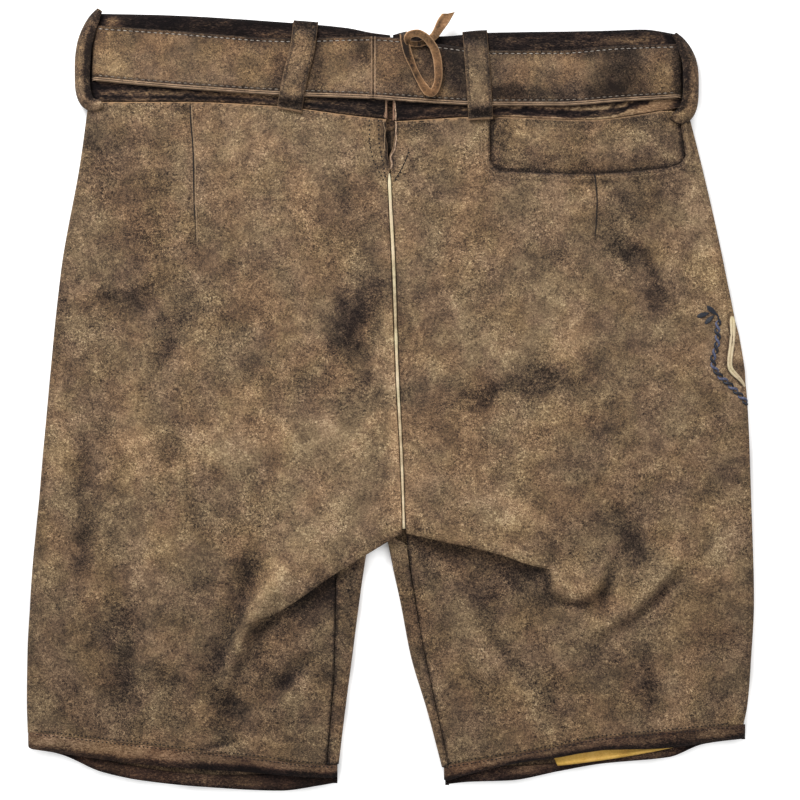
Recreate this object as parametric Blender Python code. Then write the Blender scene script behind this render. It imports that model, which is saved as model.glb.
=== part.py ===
"""Short leather trousers (lederhosen) laid face down on a table, so that the back shows.

Run it with: blender --background --python part.py, or from Blender's text editor.
X runs to the wearer's right, Y up to the waist and Z up from the table. Tables are in
millimetres. The origin is the middle of the garment's outline, on the table.

The two front panels lie on the table and wrap up round the sides and the inner legs. The two
back panels lie on them. The seat hangs over the legs in a lip, which is a row of the back
panels' grid, and the leg below it starts a few millimetres lower.
"""

import math

import bmesh
import bpy
import numpy as np

MM = 0.001

# Driving dimensions, in millimetres
LEATHER = 1.7  # wall of the panels
BELT_WALL = 2.4  # two layers sewn together
LOOP_WALL = 1.6
HEM_WALL = 3.0  # the turned hem is nearly two layers
SEAM_GAP = 0.3
LOOP_WIDTH = 18.5
LACE_RADIUS = 2.0  # a round tube in place of the flat thong

# Heights of outer faces above the table, in millimetres
LEG_TOP = 6.8
WAIST_TOP = 7.8
FLAP_LIFT = 2.0  # the front panels lie on the flap
WAISTBAND_FRONT = 2.7  # the front waistband lies on the belt
SIDE_SEAM = 3.4
BACK_ROLL = 6.0  # how far in from the side the back starts to turn down
FRONT_ROLL = 3.3
ROLL_RIM = 0.3  # share of a roll's height that ends it upright


# ---------------------------------------------------------------- curves and tables


def table(columns, *rows):
    """Named columns of a short table, each an array."""
    return dict(zip(columns.split(), np.array(rows, float).T))


def curve(x, y, at):
    """The smooth curve through the points (x, y), which never overshoots them, read at `at`."""
    x, y = np.asarray(x, float), np.asarray(y, float)
    order = np.argsort(x)
    x, y = x[order], y[order]
    at = np.clip(np.asarray(at, float), x[0], x[-1])
    step = np.diff(x)
    slope = np.diff(y) / step
    tangent = np.empty_like(x)
    tangent[0], tangent[-1] = slope[0], slope[-1]
    same_way = slope[:-1] * slope[1:] > 0
    inner = np.zeros(len(x) - 2)
    before, after = slope[:-1][same_way], slope[1:][same_way]
    inner[same_way] = 2 * before * after / (before + after)
    tangent[1:-1] = inner
    k = np.clip(np.searchsorted(x, at, side="right") - 1, 0, len(x) - 2)
    t = (at - x[k]) / step[k]
    return (
        y[k] * (1 + 2 * t) * (1 - t) ** 2
        + tangent[k] * step[k] * t * (1 - t) ** 2
        + y[k + 1] * t * t * (3 - 2 * t)
        + tangent[k + 1] * step[k] * t * t * (t - 1)
    )


def ease(t):
    t = np.clip(t, 0, 1)
    return t * t * (3 - 2 * t)


def near_path(x, y, path):
    """Distance of each point from a polyline."""
    best = np.full(np.shape(x), np.inf)
    for (ax, ay), (bx, by) in zip(path[:-1], path[1:]):
        dx, dy = bx - ax, by - ay
        t = np.clip(((x - ax) * dx + (y - ay) * dy) / (dx * dx + dy * dy), 0, 1)
        best = np.minimum(best, np.hypot(x - ax - t * dx, y - ay - t * dy))
    return best


# ---------------------------------------------------------------- shape of the back

# Edges of the back waistband, from the left side to the right side of the view
WAISTBAND_LEFT = table(
    "x bottom top",
    (-221, 225, 290),
    (-172, 224, 289),
    (-86, 221, 284),
    (-34, 214.5, 279.5),
    (-4, 211, 273.5),
)
WAISTBAND_RIGHT = table(
    "x bottom top",
    (4, 209.5, 272),
    (38, 210.5, 273),
    (70, 213, 275.5),
    (158, 210.5, 277),
    (190, 216, 278),
    (215, 221.5, 274.5),
)

# Sections of the back panels, waist to hem: points at the centre seam, down the line of the
# inseam, twice across the panel, and at the side. `down` is the distance from the waist.
BACK_LEFT = table(
    "down seam_x seam_y inseam_x inseam_y mid_x mid_y flank_x flank_y side_x side_y",
    (0, -3.2, 210.5, -34, 214, -86, 220.5, -154, 223.5, -226.5, 223.5),
    (47, -2.4, 171, -35, 171, -88.5, 174, -155, 175.5, -233.2, 176),
    (120, 0.7, 103.5, -34, 102, -90, 100.5, -159, 99, -247, 99),
    (221, 3.7, 21, -33, 11, -96, 0, -169, -6, -256.5, -6),
    (305, 7.2, -46.5, -34.5, -66, -101, -84, -176, -94, -265.5, -96),
    (385, 8.8, -100, -40.5, -131, -94, -163.5, -180, -187, -272.5, -189),
    (439, 8.8, -150, -41.6, -191, -101, -217.5, -180, -229, -273, -225),
    (490, 8.8, -190, -47.6, -274.5, -105, -268.5, -180, -260, -272.3, -250),
)
BACK_RIGHT = table(
    "down seam_x seam_y inseam_x inseam_y mid_x mid_y flank_x flank_y side_x side_y",
    (0, 3.4, 209, 75, 212.5, 148, 210, 216, 219.5, 223.2, 219),
    (42, 1.4, 171, 75, 171.5, 148, 169.5, 218.5, 175.5, 234.5, 175),
    (120, 4.6, 103.5, 76.5, 100.5, 150, 99, 217.5, 99, 250.5, 103.5),
    (221, 7.2, 21, 79.5, 6, 152, 1, 217.5, 0, 268.5, -2),
    (305, 10.4, -46.5, 84, -64.5, 155, -72, 219, -76, 271.5, -75),
    (385, 12.2, -100, 82.5, -116, 112, -128, 196, -140, 272.3, -150),
    (439, 22.5, -170, 95, -190, 140, -195, 199, -195, 271.5, -193),
    (490, 44.3, -274.5, 112.5, -258, 155, -250, 202, -247, 265.5, -243),
)
STRIP_LEAST = 2.0  # least width of the front's strip behind the inner leg
CENTRE_FILLER = 3.0  # what keeps the front's grid open where it isn't wrapped
PLACES = ("seam", "inseam", "mid", "flank", "side")
LIP_AT = 385  # the distance down at which the seat ends and the leg starts

# How high the seat stands over the leg along the lip, centre seam to side
LIP = {
    "left": table("across rise", (0, 6.4), (1, 6.0), (2, 3.2), (2.4, 1.2), (3, 0), (4, 0)),
    "right": table("across rise", (0, 6.4), (1, 5.4), (1.6, 4.0), (2.3, 0.8), (3, 0), (4, 0)),
}
# The share of that rise at each distance down
LIP_PROFILE = table(
    "down share",
    (290, 0),
    (330, 0.35),
    (360, 0.80),
    (374, 0.99),
    (380, 0.96),
    (383, 0.82),
    (384.3, 0.58),
    (385, 0.33),
    (386, 0.04),
    (388, 0),
)
# The leg dips just under the lip
UNDER_LIP = table("down dip", (384, 0), (387, 0.5), (392, 0.9), (402, 0.5), (416, 0))

# Folds: three points of each, its half width and its height
FOLDS = table(
    "x0 y0 x1 y1 x2 y2 width height",
    (-79, -131, -105, -159, -118, -195, 9, 2.6),
    (-96, -176, -108, -200, -115, -229, 8, -1.6),
    (-67, -195, -84, -211, -116, -241, 6, -1.2),
    (-98, -133, -123, -165, -132, -198, 12, -1.2),
    (121, -133, 139, -143, 157, -133, 13, 3.0),
    (98, -131, 124, -155, 154, -157, 7, -1.8),
    (154, -157, 160, -144, 167, -127, 6, -1.7),
    (158, -172, 188, -148, 208, -117, 9, 2.0),
    (162, -182, 197, -152, 234, -123, 9, -1.4),
    (60, -158, 75, -195, 98, -225, 12, 1.2),
    (-150, 60, -120, 10, -130, -60, 30, 1.0),
    (120, 90, 165, 30, 150, -50, 34, 1.1),
)
POCKET = {"left": 75.0, "right": 218.5, "right_top": 216.0, "top": 216.8, "corner": 11.0}
POCKET_LIFT = 0.35  # what is in the pocket raises the panel round it


def folds_at(x, y):
    total = np.zeros(np.shape(x))
    for f in zip(*FOLDS.values()):
        path = [(f[0], f[1]), (f[2], f[3]), (f[4], f[5])]
        total += f[7] * np.exp(-((near_path(x, y, path) / f[6]) ** 2))
    return total


def back_base(x, y):
    """Height of the back's outer face, without its folds."""
    rise = (WAIST_TOP - LEG_TOP) * ease((y - 120) / 45)
    over_pocket = ease((x - 45) / 30) * ease((245 - x) / 20) * ease((y - 140) / 25)
    return LEG_TOP + rise + POCKET_LIFT * over_pocket


def waist_base(x, y):
    """The back's height carried on level over the waistband."""
    return back_base(x, np.minimum(y, 230))


def section_points(sections, down, across, inset=0.0):
    """Plan points of a panel on a grid: one row for each distance down, one column for each
    place across, counted from 0 at the centre seam to 4 at `inset` in from the side."""
    stations = np.arange(len(PLACES))
    found = []
    for axis in "xy":
        rows = np.array([sections[f"{place}_{axis}"] for place in PLACES])
        if axis == "x":
            rows[-1] += inset * np.sign(rows[0] - rows[-1])
        at_down = np.array([curve(sections["down"], row, down) for row in rows])
        lines = [curve(stations, at_down[:, j], across) for j in range(len(down))]
        found.append(np.array(lines))
    return found


def quarter_turn(steps, rim):
    """Sine and cosine along a quarter turn. Its last step is a short straight one, a share
    `rim` of the radius, so that the wall's edge is square to the seam."""
    turn = np.linspace(0, math.pi / 2, steps + 1)[1:]
    return (
        np.append(np.sin(turn), 1.0),
        np.append(rim + (1 - rim) * np.cos(turn), 0.0),
    )


def row_line(points):
    """The line of a row of a panel's points, as (x, y) in rising x."""
    order = np.argsort(points[:, 0])
    return points[order, 0], points[order, 1]


def back_panel_points(sections, side, down, across, roll_steps):
    """Outer face of a back panel. The last columns turn down to the side seam."""
    x, y = section_points(sections, down, across, inset=BACK_ROLL)
    start_x = x[:, -1:]
    edge_x = start_x + BACK_ROLL * np.sign(start_x - x[:, :1])
    lip_share = curve(LIP_PROFILE["down"], LIP_PROFILE["share"], down)[:, None]
    rise = curve(LIP[side]["across"], LIP[side]["rise"], across)[None, :]
    dip = curve(UNDER_LIP["down"], UNDER_LIP["dip"], down)[:, None] * np.minimum(rise, 1.5)
    z = back_base(x, y) + folds_at(x, y) + lip_share * rise - dip
    out, fall = quarter_turn(roll_steps, ROLL_RIM)
    seam_z = side_seam_height(edge_x, y[:, -1:]) + SEAM_GAP / 2
    roll_x = start_x + (edge_x - start_x) * out
    roll_y = y[:, -1:] + 0 * out
    roll_z = seam_z + (z[:, -1:] - seam_z) * fall
    return np.dstack(
        [np.hstack([x, roll_x]), np.hstack([y, roll_y]), np.hstack([z, roll_z])]
    )


# ---------------------------------------------------------------- shape of the front

# Sections of the front panels, waist to hem: the side, the inner edge in plan, how far the
# edge is wrapped over the inner leg (1 is a half turn) and how far the section bows down.
FRONT_LEFT = table(
    "side_x side_y inner_x inner_y wrap bow",
    (-226.5, 221.5, 3.5, 202, 0, 0),
    (-233.2, 176, 3, 165, 0, 0),
    (-247, 99, 2, 95, 0, 0),
    (-256.5, -6, 0, 0, 0, 0),
    (-264, -75, -2.5, -72, 0, 0),
    (-265.5, -90, -3.6, -84, 0.04, 0),
    (-267, -105, -12, -97, 0.5, 0),
    (-268.5, -120, -17, -112, 1, 0),
    (-270, -140, -20, -130, 1, 0),
    (-271.3, -165, -23.5, -155, 1, 2),
    (-272.5, -195, -28, -190, 1, 6),
    (-273, -225, -34, -236, 1, 13),
    (-272, -252, -38.5, -273.5, 1, 18),
)
FRONT_RIGHT = table(
    "side_x side_y inner_x inner_y wrap bow",
    (223.5, 217.5, 3.9, 202, 0, 0),
    (234.5, 175, 3.4, 165, 0, 0),
    (250.5, 103.5, 2.4, 95, 0, 0),
    (268.5, -2, 0.4, 0, 0, 0),
    (271.5, -75, -2.1, -72, 0, 0),
    (271.5, -90, -2.9, -84, 0.04, 0),
    (271.8, -105, -3.6, -97, 0.5, 0),
    (272, -120, -1, -110, 1, 0),
    (272.5, -140, 2.5, -128, 1, 0),
    (272.5, -165, 8, -153, 1, 1),
    (271.5, -195, 15.5, -192, 1, 3),
    (269, -228, 28, -234, 1, 6),
    (265.5, -246, 39, -276, 1, 9),
)
FLAP = {"x": 3.0, "top": 198.0, "foot": 55.0, "half_top": 95.0, "half_foot": 76.0}
FLAP_MARGIN = {"full": 20.0, "none": 48.0}  # the panels' lift round the flap
SIDE_POCKET = {"top": 66.0, "foot": 12.0, "reach": 30.0, "lift": 2.0, "margin": 60.0}


def flap_half(y):
    t = np.clip((FLAP["top"] - y) / (FLAP["top"] - FLAP["foot"]), 0, 1)
    return FLAP["half_top"] + (FLAP["half_foot"] - FLAP["half_top"]) * t


def front_base(x, y):
    """Height of the front panels' outer face, the one that lies on the table."""
    beyond = np.hypot(
        np.maximum(np.abs(x - FLAP["x"]) - flap_half(y), 0), np.maximum(FLAP["foot"] - y, 0)
    )
    full, none = FLAP_MARGIN["full"], FLAP_MARGIN["none"]
    on_flap = 1 - ease((beyond - full) / (none - full))
    at_waist = ease((y - 188) / 22)
    low, high = SIDE_POCKET["foot"], SIDE_POCKET["top"]
    margin = SIDE_POCKET["margin"]
    along = ease((y - low + margin) / 24) * ease((high + margin - y) / 24)
    on_pocket = along * ease((x - 200) / 22)
    return np.maximum(FLAP_LIFT * np.maximum(on_flap, at_waist), SIDE_POCKET["lift"] * on_pocket)


def side_seam_height(x, y):
    return SIDE_SEAM + 0.5 * front_base(x, y)


def front_panel_points(sections, inseam, down, flat_columns, roll_steps, wrap_steps):
    """Outer face of a front panel: down from the side seam, across the table, and round the
    inner leg to the inseam. `inseam` is the line that the back panel's edge follows there."""
    rows = np.linspace(0, 1, len(sections["side_x"]))
    row = {name: curve(rows, column, down)[:, None] for name, column in sections.items()}
    toward = np.sign(row["inner_x"] - row["side_x"])
    angle = row["wrap"] * math.pi
    inseam_x = curve(*inseam, row["inner_y"])
    strip = (row["inner_x"] - inseam_x) * toward - FRONT_ROLL - SEAM_GAP
    strip = STRIP_LEAST + (np.maximum(strip, STRIP_LEAST) - STRIP_LEAST) * row["wrap"] ** 8
    filler = CENTRE_FILLER * (1 - row["wrap"])
    reach = FRONT_ROLL * np.sin(np.minimum(angle, math.pi / 2)) + filler
    reach = reach + strip * np.maximum(np.cos(angle), 0)
    flat_end = row["inner_x"] - toward * reach
    flat_start = row["side_x"] + toward * FRONT_ROLL

    def y_at(x):
        share = (x - row["side_x"]) / (row["inner_x"] - row["side_x"])
        straight = row["side_y"] + (row["inner_y"] - row["side_y"]) * share
        return straight - row["bow"] * 4 * share * (1 - share)

    out, rise = (part[::-1] for part in quarter_turn(roll_steps, ROLL_RIM))
    seam_z = side_seam_height(row["side_x"], row["side_y"]) - SEAM_GAP / 2
    start_z = front_base(flat_start, y_at(flat_start))
    x_roll = row["side_x"] + toward * FRONT_ROLL * (1 - out)
    z_roll = start_z + (seam_z - start_z) * (1 - rise)
    x_flat = flat_start + (flat_end - flat_start) * flat_columns
    z_flat = front_base(x_flat, y_at(x_flat))
    z_end = z_flat[:, -1:]
    step = np.linspace(0, 1, wrap_steps + 1)[1:]
    bend = angle * step
    x_wrap = flat_end + toward * (FRONT_ROLL * np.sin(bend) + filler * step)
    z_wrap = z_end + FRONT_ROLL * (1 - np.cos(bend))
    x_strip = x_wrap[:, -1:] + toward * strip * np.cos(angle)
    z_strip = z_wrap[:, -1:] + strip * np.sin(angle)
    x = np.hstack([x_roll, x_flat, x_wrap, x_strip])
    z = np.hstack([z_roll, z_flat, z_wrap, z_strip])
    return np.dstack([x, y_at(x), z])


# ---------------------------------------------------------------- solids


def material(name, colour, roughness, metallic=0.0):
    made = bpy.data.materials.new(name)
    made.use_nodes = True
    shader = made.node_tree.nodes["Principled BSDF"]
    shader.inputs["Base Color"].default_value = (*colour, 1)
    shader.inputs["Roughness"].default_value = roughness
    shader.inputs["Metallic"].default_value = metallic
    return made


def add_object(name, mesh, finish):
    obj = bpy.data.objects.new(name, mesh)
    mesh.materials.append(finish)
    bpy.context.scene.collection.objects.link(obj)
    return obj


def wall(name, points, thickness, finish, outward, cut=None):
    """A leather wall: a grid through the points of its outer face, thickened inwards.
    `outward` is the direction that the middle of the face looks in, and cut(row, column)
    is true for the grid's faces that are left out."""
    rows, columns = points.shape[0] - 1, points.shape[1] - 1
    bm = bmesh.new()
    bmesh.ops.create_grid(bm, x_segments=columns, y_segments=rows, size=0.5)
    for v in bm.verts:
        i, j = round((v.co.x + 0.5) * columns), round((v.co.y + 0.5) * rows)
        v.co = (i, j, 0)
    if cut:
        gone = [f for f in bm.faces if cut(f.calc_center_median().y, f.calc_center_median().x)]
        bmesh.ops.delete(bm, geom=gone, context="FACES")
    for v in bm.verts:
        v.co = points[round(v.co.y), round(v.co.x)] * MM
    bm.normal_update()
    total = sum((f.normal.dot(outward) * f.calc_area() for f in bm.faces), 0.0)
    if total < 0:
        bmesh.ops.reverse_faces(bm, faces=bm.faces[:])
    mesh = bpy.data.meshes.new(name)
    bm.to_mesh(mesh)
    bm.free()
    mesh.shade_smooth()
    obj = add_object(name, mesh, finish)
    thick = obj.modifiers.new("Thickness", "SOLIDIFY")
    thick.thickness = thickness * MM
    thick.offset = -1
    thick.use_even_offset = True
    thick.thickness_clamp = 0
    return obj


def tube(name, points, radius, finish, resolution=2):
    """A round tube through the points."""
    line = bpy.data.curves.new(name, "CURVE")
    line.dimensions = "3D"
    line.bevel_depth = radius * MM
    line.bevel_resolution = resolution
    line.use_fill_caps = True
    spline = line.splines.new("POLY")
    spline.points.add(len(points) - 1)
    for place, point in zip(spline.points, points):
        place.co = (*(np.asarray(point) * MM), 1)
    return add_object(name, line, finish)


def along_path(path, count):
    """`count` points, evenly spaced along the smooth curve through a path."""
    path = np.asarray(path, float)
    index = np.arange(len(path))
    fine = np.linspace(0, len(path) - 1, 60 * len(path))
    dense = np.stack([curve(index, path[:, k], fine) for k in range(path.shape[1])], axis=1)
    length = np.concatenate([[0], np.cumsum(np.linalg.norm(np.diff(dense, axis=0), axis=1))])
    at = np.linspace(0, length[-1], count)
    return np.stack([np.interp(at, length, dense[:, k]) for k in range(path.shape[1])], axis=1)


UP, DOWN = (0, 0, 1), (0, 0, -1)


# ---------------------------------------------------------------- panels

BACK_DOWN = np.array(
    [0, 16, 33, 42, 50, 70, 95, 120, 146, 172, 198, 221, 246, 270, 292, 312, 330]
    + [345, 358, 368, 375, 380, 383, 385, 386, 391, 399, 410, 424, 441, 460, 476, 490],
    float,
)
LIP_ROW = int(np.flatnonzero(BACK_DOWN == LIP_AT)[0])
POCKET_ROW = int(np.flatnonzero(BACK_DOWN == 42)[0])
LEFT_ACROSS = np.array([0, 0.33, 0.67, 1, 1.2, 1.4, 1.6, 1.8, 2, 2.25, 2.5, 2.75, 3, 3.5, 4])
RIGHT_ACROSS = np.array(
    [0, 0.2, 0.45, 0.7, 1, 1.09, 1.3, 1.5, 1.7, 1.9, 2.15, 2.4, 2.65, 2.91, 3, 3.5, 4]
)
INSEAM_COLUMN = int(np.flatnonzero(LEFT_ACROSS == 1)[0])
POCKET_COLUMNS = (
    int(np.flatnonzero(RIGHT_ACROSS == 1)[0]),
    int(np.flatnonzero(RIGHT_ACROSS == 3)[0]),
)
BACK_ROLL_STEPS = 3


def round_pocket_corners(points):
    """Moves the points near the two foot corners of the pocket's cut onto an arc."""
    r = POCKET["corner"]
    for column, inside in zip(POCKET_COLUMNS, (1, -1)):
        corner = points[POCKET_ROW, column].copy()
        centre = corner + np.array([inside * r, r, 0])
        up_side = [(row, column) for row in range(POCKET_ROW)]
        along_foot = [(POCKET_ROW, c) for c in range(POCKET_COLUMNS[0], POCKET_COLUMNS[1] + 1)]
        for place in up_side + along_foot:
            across, up = np.abs(points[place] - corner)[:2] / r
            if across < 1 and up < 1:
                angle = math.pi / 4 * (1 + across - up)
                turned = np.array([-inside * math.cos(angle), -math.sin(angle), 0])
                points[place][:2] = (centre + r * turned)[:2]
    return points


def back_left_points():
    return back_panel_points(BACK_LEFT, "left", BACK_DOWN, LEFT_ACROSS, BACK_ROLL_STEPS)


def back_right_points():
    points = back_panel_points(BACK_RIGHT, "right", BACK_DOWN, RIGHT_ACROSS, BACK_ROLL_STEPS)
    return round_pocket_corners(points)


def build_back(finish):
    def under_lip(row, column):
        return row > LIP_ROW and column < INSEAM_COLUMN

    wall("back_left", back_left_points(), LEATHER, finish, UP, cut=under_lip)

    def pocket_mouth(row, column):
        return row < POCKET_ROW and POCKET_COLUMNS[0] < column < POCKET_COLUMNS[1]

    wall("back_right", back_right_points(), LEATHER, finish, UP, cut=pocket_mouth)


# Rows of the front panels, as shares of their sections' list, closer where the legs part
FRONT_DOWN = np.array(
    [0, 0.06, 0.125, 0.2, 0.24, 0.29, 0.35, 0.4167, 0.44, 0.458, 0.479, 0.5, 0.521, 0.542]
    + [0.583, 0.625, 0.6875, 0.75, 0.83, 0.915, 1]
)
FLAT_COLUMNS = np.array([0, 0.1, 0.22, 0.34, 0.46, 0.58, 0.7, 0.8, 0.9, 1])


def front_left_points():
    inseam = BACK_LEFT["inseam_y"], BACK_LEFT["inseam_x"]
    return front_panel_points(FRONT_LEFT, inseam, FRONT_DOWN, FLAT_COLUMNS, 2, 5)


def front_right_points():
    inseam = BACK_RIGHT["seam_y"], BACK_RIGHT["seam_x"]
    return front_panel_points(FRONT_RIGHT, inseam, FRONT_DOWN, FLAT_COLUMNS, 2, 5)


def build_front(finish):
    wall("front_left", front_left_points(), LEATHER, finish, DOWN)
    wall("front_right", front_right_points(), LEATHER, finish, DOWN)


def build_flap(finish):
    """The drop flap that closes the front."""
    down = np.concatenate([np.linspace(0, 0.86, 6), [0.93, 0.97, 1.0]])
    y = FLAP["top"] + (FLAP["foot"] - FLAP["top"]) * down
    corner = np.sqrt(np.clip(1 - np.clip((down - 0.86) / 0.14, 0, 1) ** 2, 0, 1)) * 20 - 20
    half = flap_half(y) + corner
    share = np.linspace(-1, 1, 9)
    x = FLAP["x"] + half[:, None] * share
    y = y[:, None] + 0 * x
    wall("front_flap", np.dstack([x, y, 0 * x]), LEATHER, finish, DOWN)


# ---------------------------------------------------------------- waistband, belt, loops


WAISTBAND_FRONT_TOP = table("x top", (-221, 284), (3.7, 264), (215, 272))
WAISTBAND_ROLL = 4.0
WAISTBAND_SEAM = (WAIST_TOP + WAISTBAND_FRONT) / 2


def waistband_columns(centre, side_x, count):
    """x across half a waistband, and what is left of its height as its end turns in."""
    out, fall = quarter_turn(3, rim=0.15)
    start = side_x - np.sign(side_x) * WAISTBAND_ROLL
    x = np.concatenate([np.linspace(centre, start, count), start + (side_x - start) * out])
    return x, np.concatenate([np.ones(count), fall])


def build_waistband(finish):
    for name, points, edges, side_x in (
        ("waistband_back_left", back_left_points(), WAISTBAND_LEFT, -221.0),
        ("waistband_back_right", back_right_points(), WAISTBAND_RIGHT, 215.0),
    ):
        centre = edges["x"][np.argmin(np.abs(edges["x"]))]
        x, fall = waistband_columns(centre, side_x, 13)
        bottom = np.interp(x, *row_line(points[0, : -BACK_ROLL_STEPS - 1])) + 1.5 * SEAM_GAP
        top = curve(edges["x"], edges["top"], x)
        y = bottom + (top - bottom) * np.linspace(0, 1, 4)[:, None]
        seam = WAISTBAND_SEAM + SEAM_GAP / 2
        z = seam + (waist_base(x + 0 * y, y) - seam) * fall
        wall(name, np.dstack([x + 0 * y, y, z]), LEATHER, finish, UP)
    for name, points, side_x, centre in (
        ("waistband_front_left", front_left_points(), -221.0, 3.55),
        ("waistband_front_right", front_right_points(), 215.0, 3.85),
    ):
        x, fall = waistband_columns(centre, side_x, 9)
        bottom = np.interp(x, *row_line(points[0, 3:-6])) + 1.5 * SEAM_GAP
        top = curve(WAISTBAND_FRONT_TOP["x"], WAISTBAND_FRONT_TOP["top"], x)
        up = np.array([0, 0.12, 0.5, 1])[:, None]
        y = bottom + (top - bottom) * up
        z = FLAP_LIFT + (WAISTBAND_FRONT - FLAP_LIFT) * ease(up / 0.12) + 0 * y
        seam = WAISTBAND_SEAM - SEAM_GAP / 2
        wall(name, np.dstack([x + 0 * y, y, seam + (z - seam) * fall]), LEATHER, finish, DOWN)


# Edges of the belt across the back, then its middle line across the front
BELT_BACK = table(
    "x bottom top",
    (-224, 240, 281),
    (-159, 234, 276.5),
    (-75, 228.5, 271),
    (-13, 226, 272.5),
    (8, 224.5, 271),
    (38, 222.5, 266.5),
    (78, 221, 262),
    (126, 221, 262),
    (172, 224, 265.5),
    (219, 227, 267),
)
BELT_FRONT = table("x middle", (-224, 260.5), (3, 235.5), (219, 247))
BELT_SEAM_X = -12.5
BELT_WIDTH = 42.0
BUCKLE = {"x": 3.0, "half": 25.0, "height": 47.0, "wall": 2.4, "corner": 5.0}
BELT_OFF = 0.5  # the belt's gap from the waistband at its upper edge
BELT_FLARE = 1.0  # how much further its lower edge stands off


def belt_top(x, y, up):
    """Outer face of the belt across the back; its lower edge stands off the waistband."""
    return waist_base(x, y) + BELT_OFF + BELT_WALL + BELT_FLARE * (1 - up)


def build_belt(finish, metal):
    up = np.linspace(0, 1, 3)[:, None]
    for name, seam_x, side_x in (
        ("belt_left", BELT_SEAM_X - SEAM_GAP / 2, -224.0),
        ("belt_right", BELT_SEAM_X + SEAM_GAP / 2, 219.0),
    ):
        out = np.sign(side_x)
        radius = (WAIST_TOP + BELT_OFF + BELT_WALL) / 2
        fold_x = side_x - out * radius
        end_x = BUCKLE["x"] + out * (BUCKLE["half"] + SEAM_GAP)
        back_x = np.linspace(seam_x, fold_x, 14)
        turn = np.linspace(0, math.pi, 9)[1:-1]
        front_x = np.linspace(fold_x, end_x, 7)
        bottom = curve(BELT_BACK["x"], BELT_BACK["bottom"], back_x)
        top = curve(BELT_BACK["x"], BELT_BACK["top"], back_x)
        y_back = bottom + (top - bottom) * up
        z_back = belt_top(back_x + 0 * y_back, y_back, up)
        middle = curve(BELT_FRONT["x"], BELT_FRONT["middle"], front_x)
        y_front = middle + BELT_WIDTH * (up - 0.5)
        share = turn / math.pi
        x_side = fold_x + out * radius * np.sin(turn) + 0 * up
        y_side = y_back[:, -1:] + (y_front[:, :1] - y_back[:, -1:]) * share
        z_side = z_back[:, -1:] * (1 + np.cos(turn)) / 2
        x = np.hstack([back_x + 0 * up, x_side, front_x + 0 * up])
        y = np.hstack([y_back, y_side, y_front])
        z = np.hstack([z_back, z_side, 0 * y_front])
        wall(name, np.dstack([x, y, z]), BELT_WALL, finish, (out, 0, 0.001))
    build_buckle(metal)


def build_buckle(metal):
    """A plain plate that joins the belt's two ends at the front."""
    y = float(curve(BELT_FRONT["x"], BELT_FRONT["middle"], BUCKLE["x"]))
    bm = bmesh.new()
    bmesh.ops.create_cube(bm, size=1)
    size = (2 * BUCKLE["half"], BUCKLE["height"], BUCKLE["wall"])
    bmesh.ops.scale(bm, vec=[s * MM for s in size], verts=bm.verts)
    upright = [e for e in bm.edges if abs(e.verts[0].co.z - e.verts[1].co.z) > 0.5 * MM]
    bmesh.ops.bevel(
        bm, geom=upright, offset=BUCKLE["corner"] * MM, segments=4, profile=0.5,
        affect="EDGES", material=-1,
    )
    place = (BUCKLE["x"] * MM, y * MM, BUCKLE["wall"] / 2 * MM)
    bmesh.ops.translate(bm, vec=place, verts=bm.verts)
    mesh = bpy.data.meshes.new("belt_buckle")
    bm.to_mesh(mesh)
    bm.free()
    add_object("belt_buckle", mesh, metal)


# Belt loops on the back: middle line at the top and the foot
BACK_LOOPS = {
    "loop_back_left": table("x y", (-63, 285.5), (-65, 266), (-70.5, 243), (-75.5, 217)),
    "loop_back_right": table("x y", (63.5, 277.5), (65, 256), (66.5, 236), (68, 210)),
}


def build_back_loops(finish):
    for name, line in BACK_LOOPS.items():
        path = along_path(np.stack([line["x"], line["y"]], axis=1), 15)
        waist = WAISTBAND_LEFT if path[0, 0] < 0 else WAISTBAND_RIGHT
        across = np.linspace(-LOOP_WIDTH / 2, LOOP_WIDTH / 2, 5)
        x = path[:, :1] + across
        lean = (path[-1, 0] - path[0, 0]) / (path[-1, 1] - path[0, 1])
        y = path[:, 1:] - across * lean
        edge_top = curve(BELT_BACK["x"], BELT_BACK["top"], x)
        edge_bottom = curve(BELT_BACK["x"], BELT_BACK["bottom"], x)
        base = waist_base(x, y) + SEAM_GAP + LOOP_WALL
        up = np.clip((y - edge_bottom) / (edge_top - edge_bottom), 0, 1)
        over_belt = belt_top(x, y, up) + 0.4 + LOOP_WALL
        on_belt = ease((edge_top + 8 - y) / 7) * ease((y - edge_bottom + 9) / 7)
        z = base + (over_belt - base) * on_belt
        # The top end turns over the waistband's edge
        ends = [curve(waist["x"], waist["top"], x[:1]) + 0.4 + LOOP_WALL]
        turned = np.dstack([x[:1], ends[0], base[:1] - LOOP_WALL - 0.9])
        corner = np.dstack([x[:1], ends[0] - 0.5, base[:1] - 0.6])
        body = np.dstack([x, np.minimum(y, ends[0] - 1.8), z])
        wall(name, np.vstack([turned, corner, body]), LOOP_WALL, finish, UP)


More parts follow.
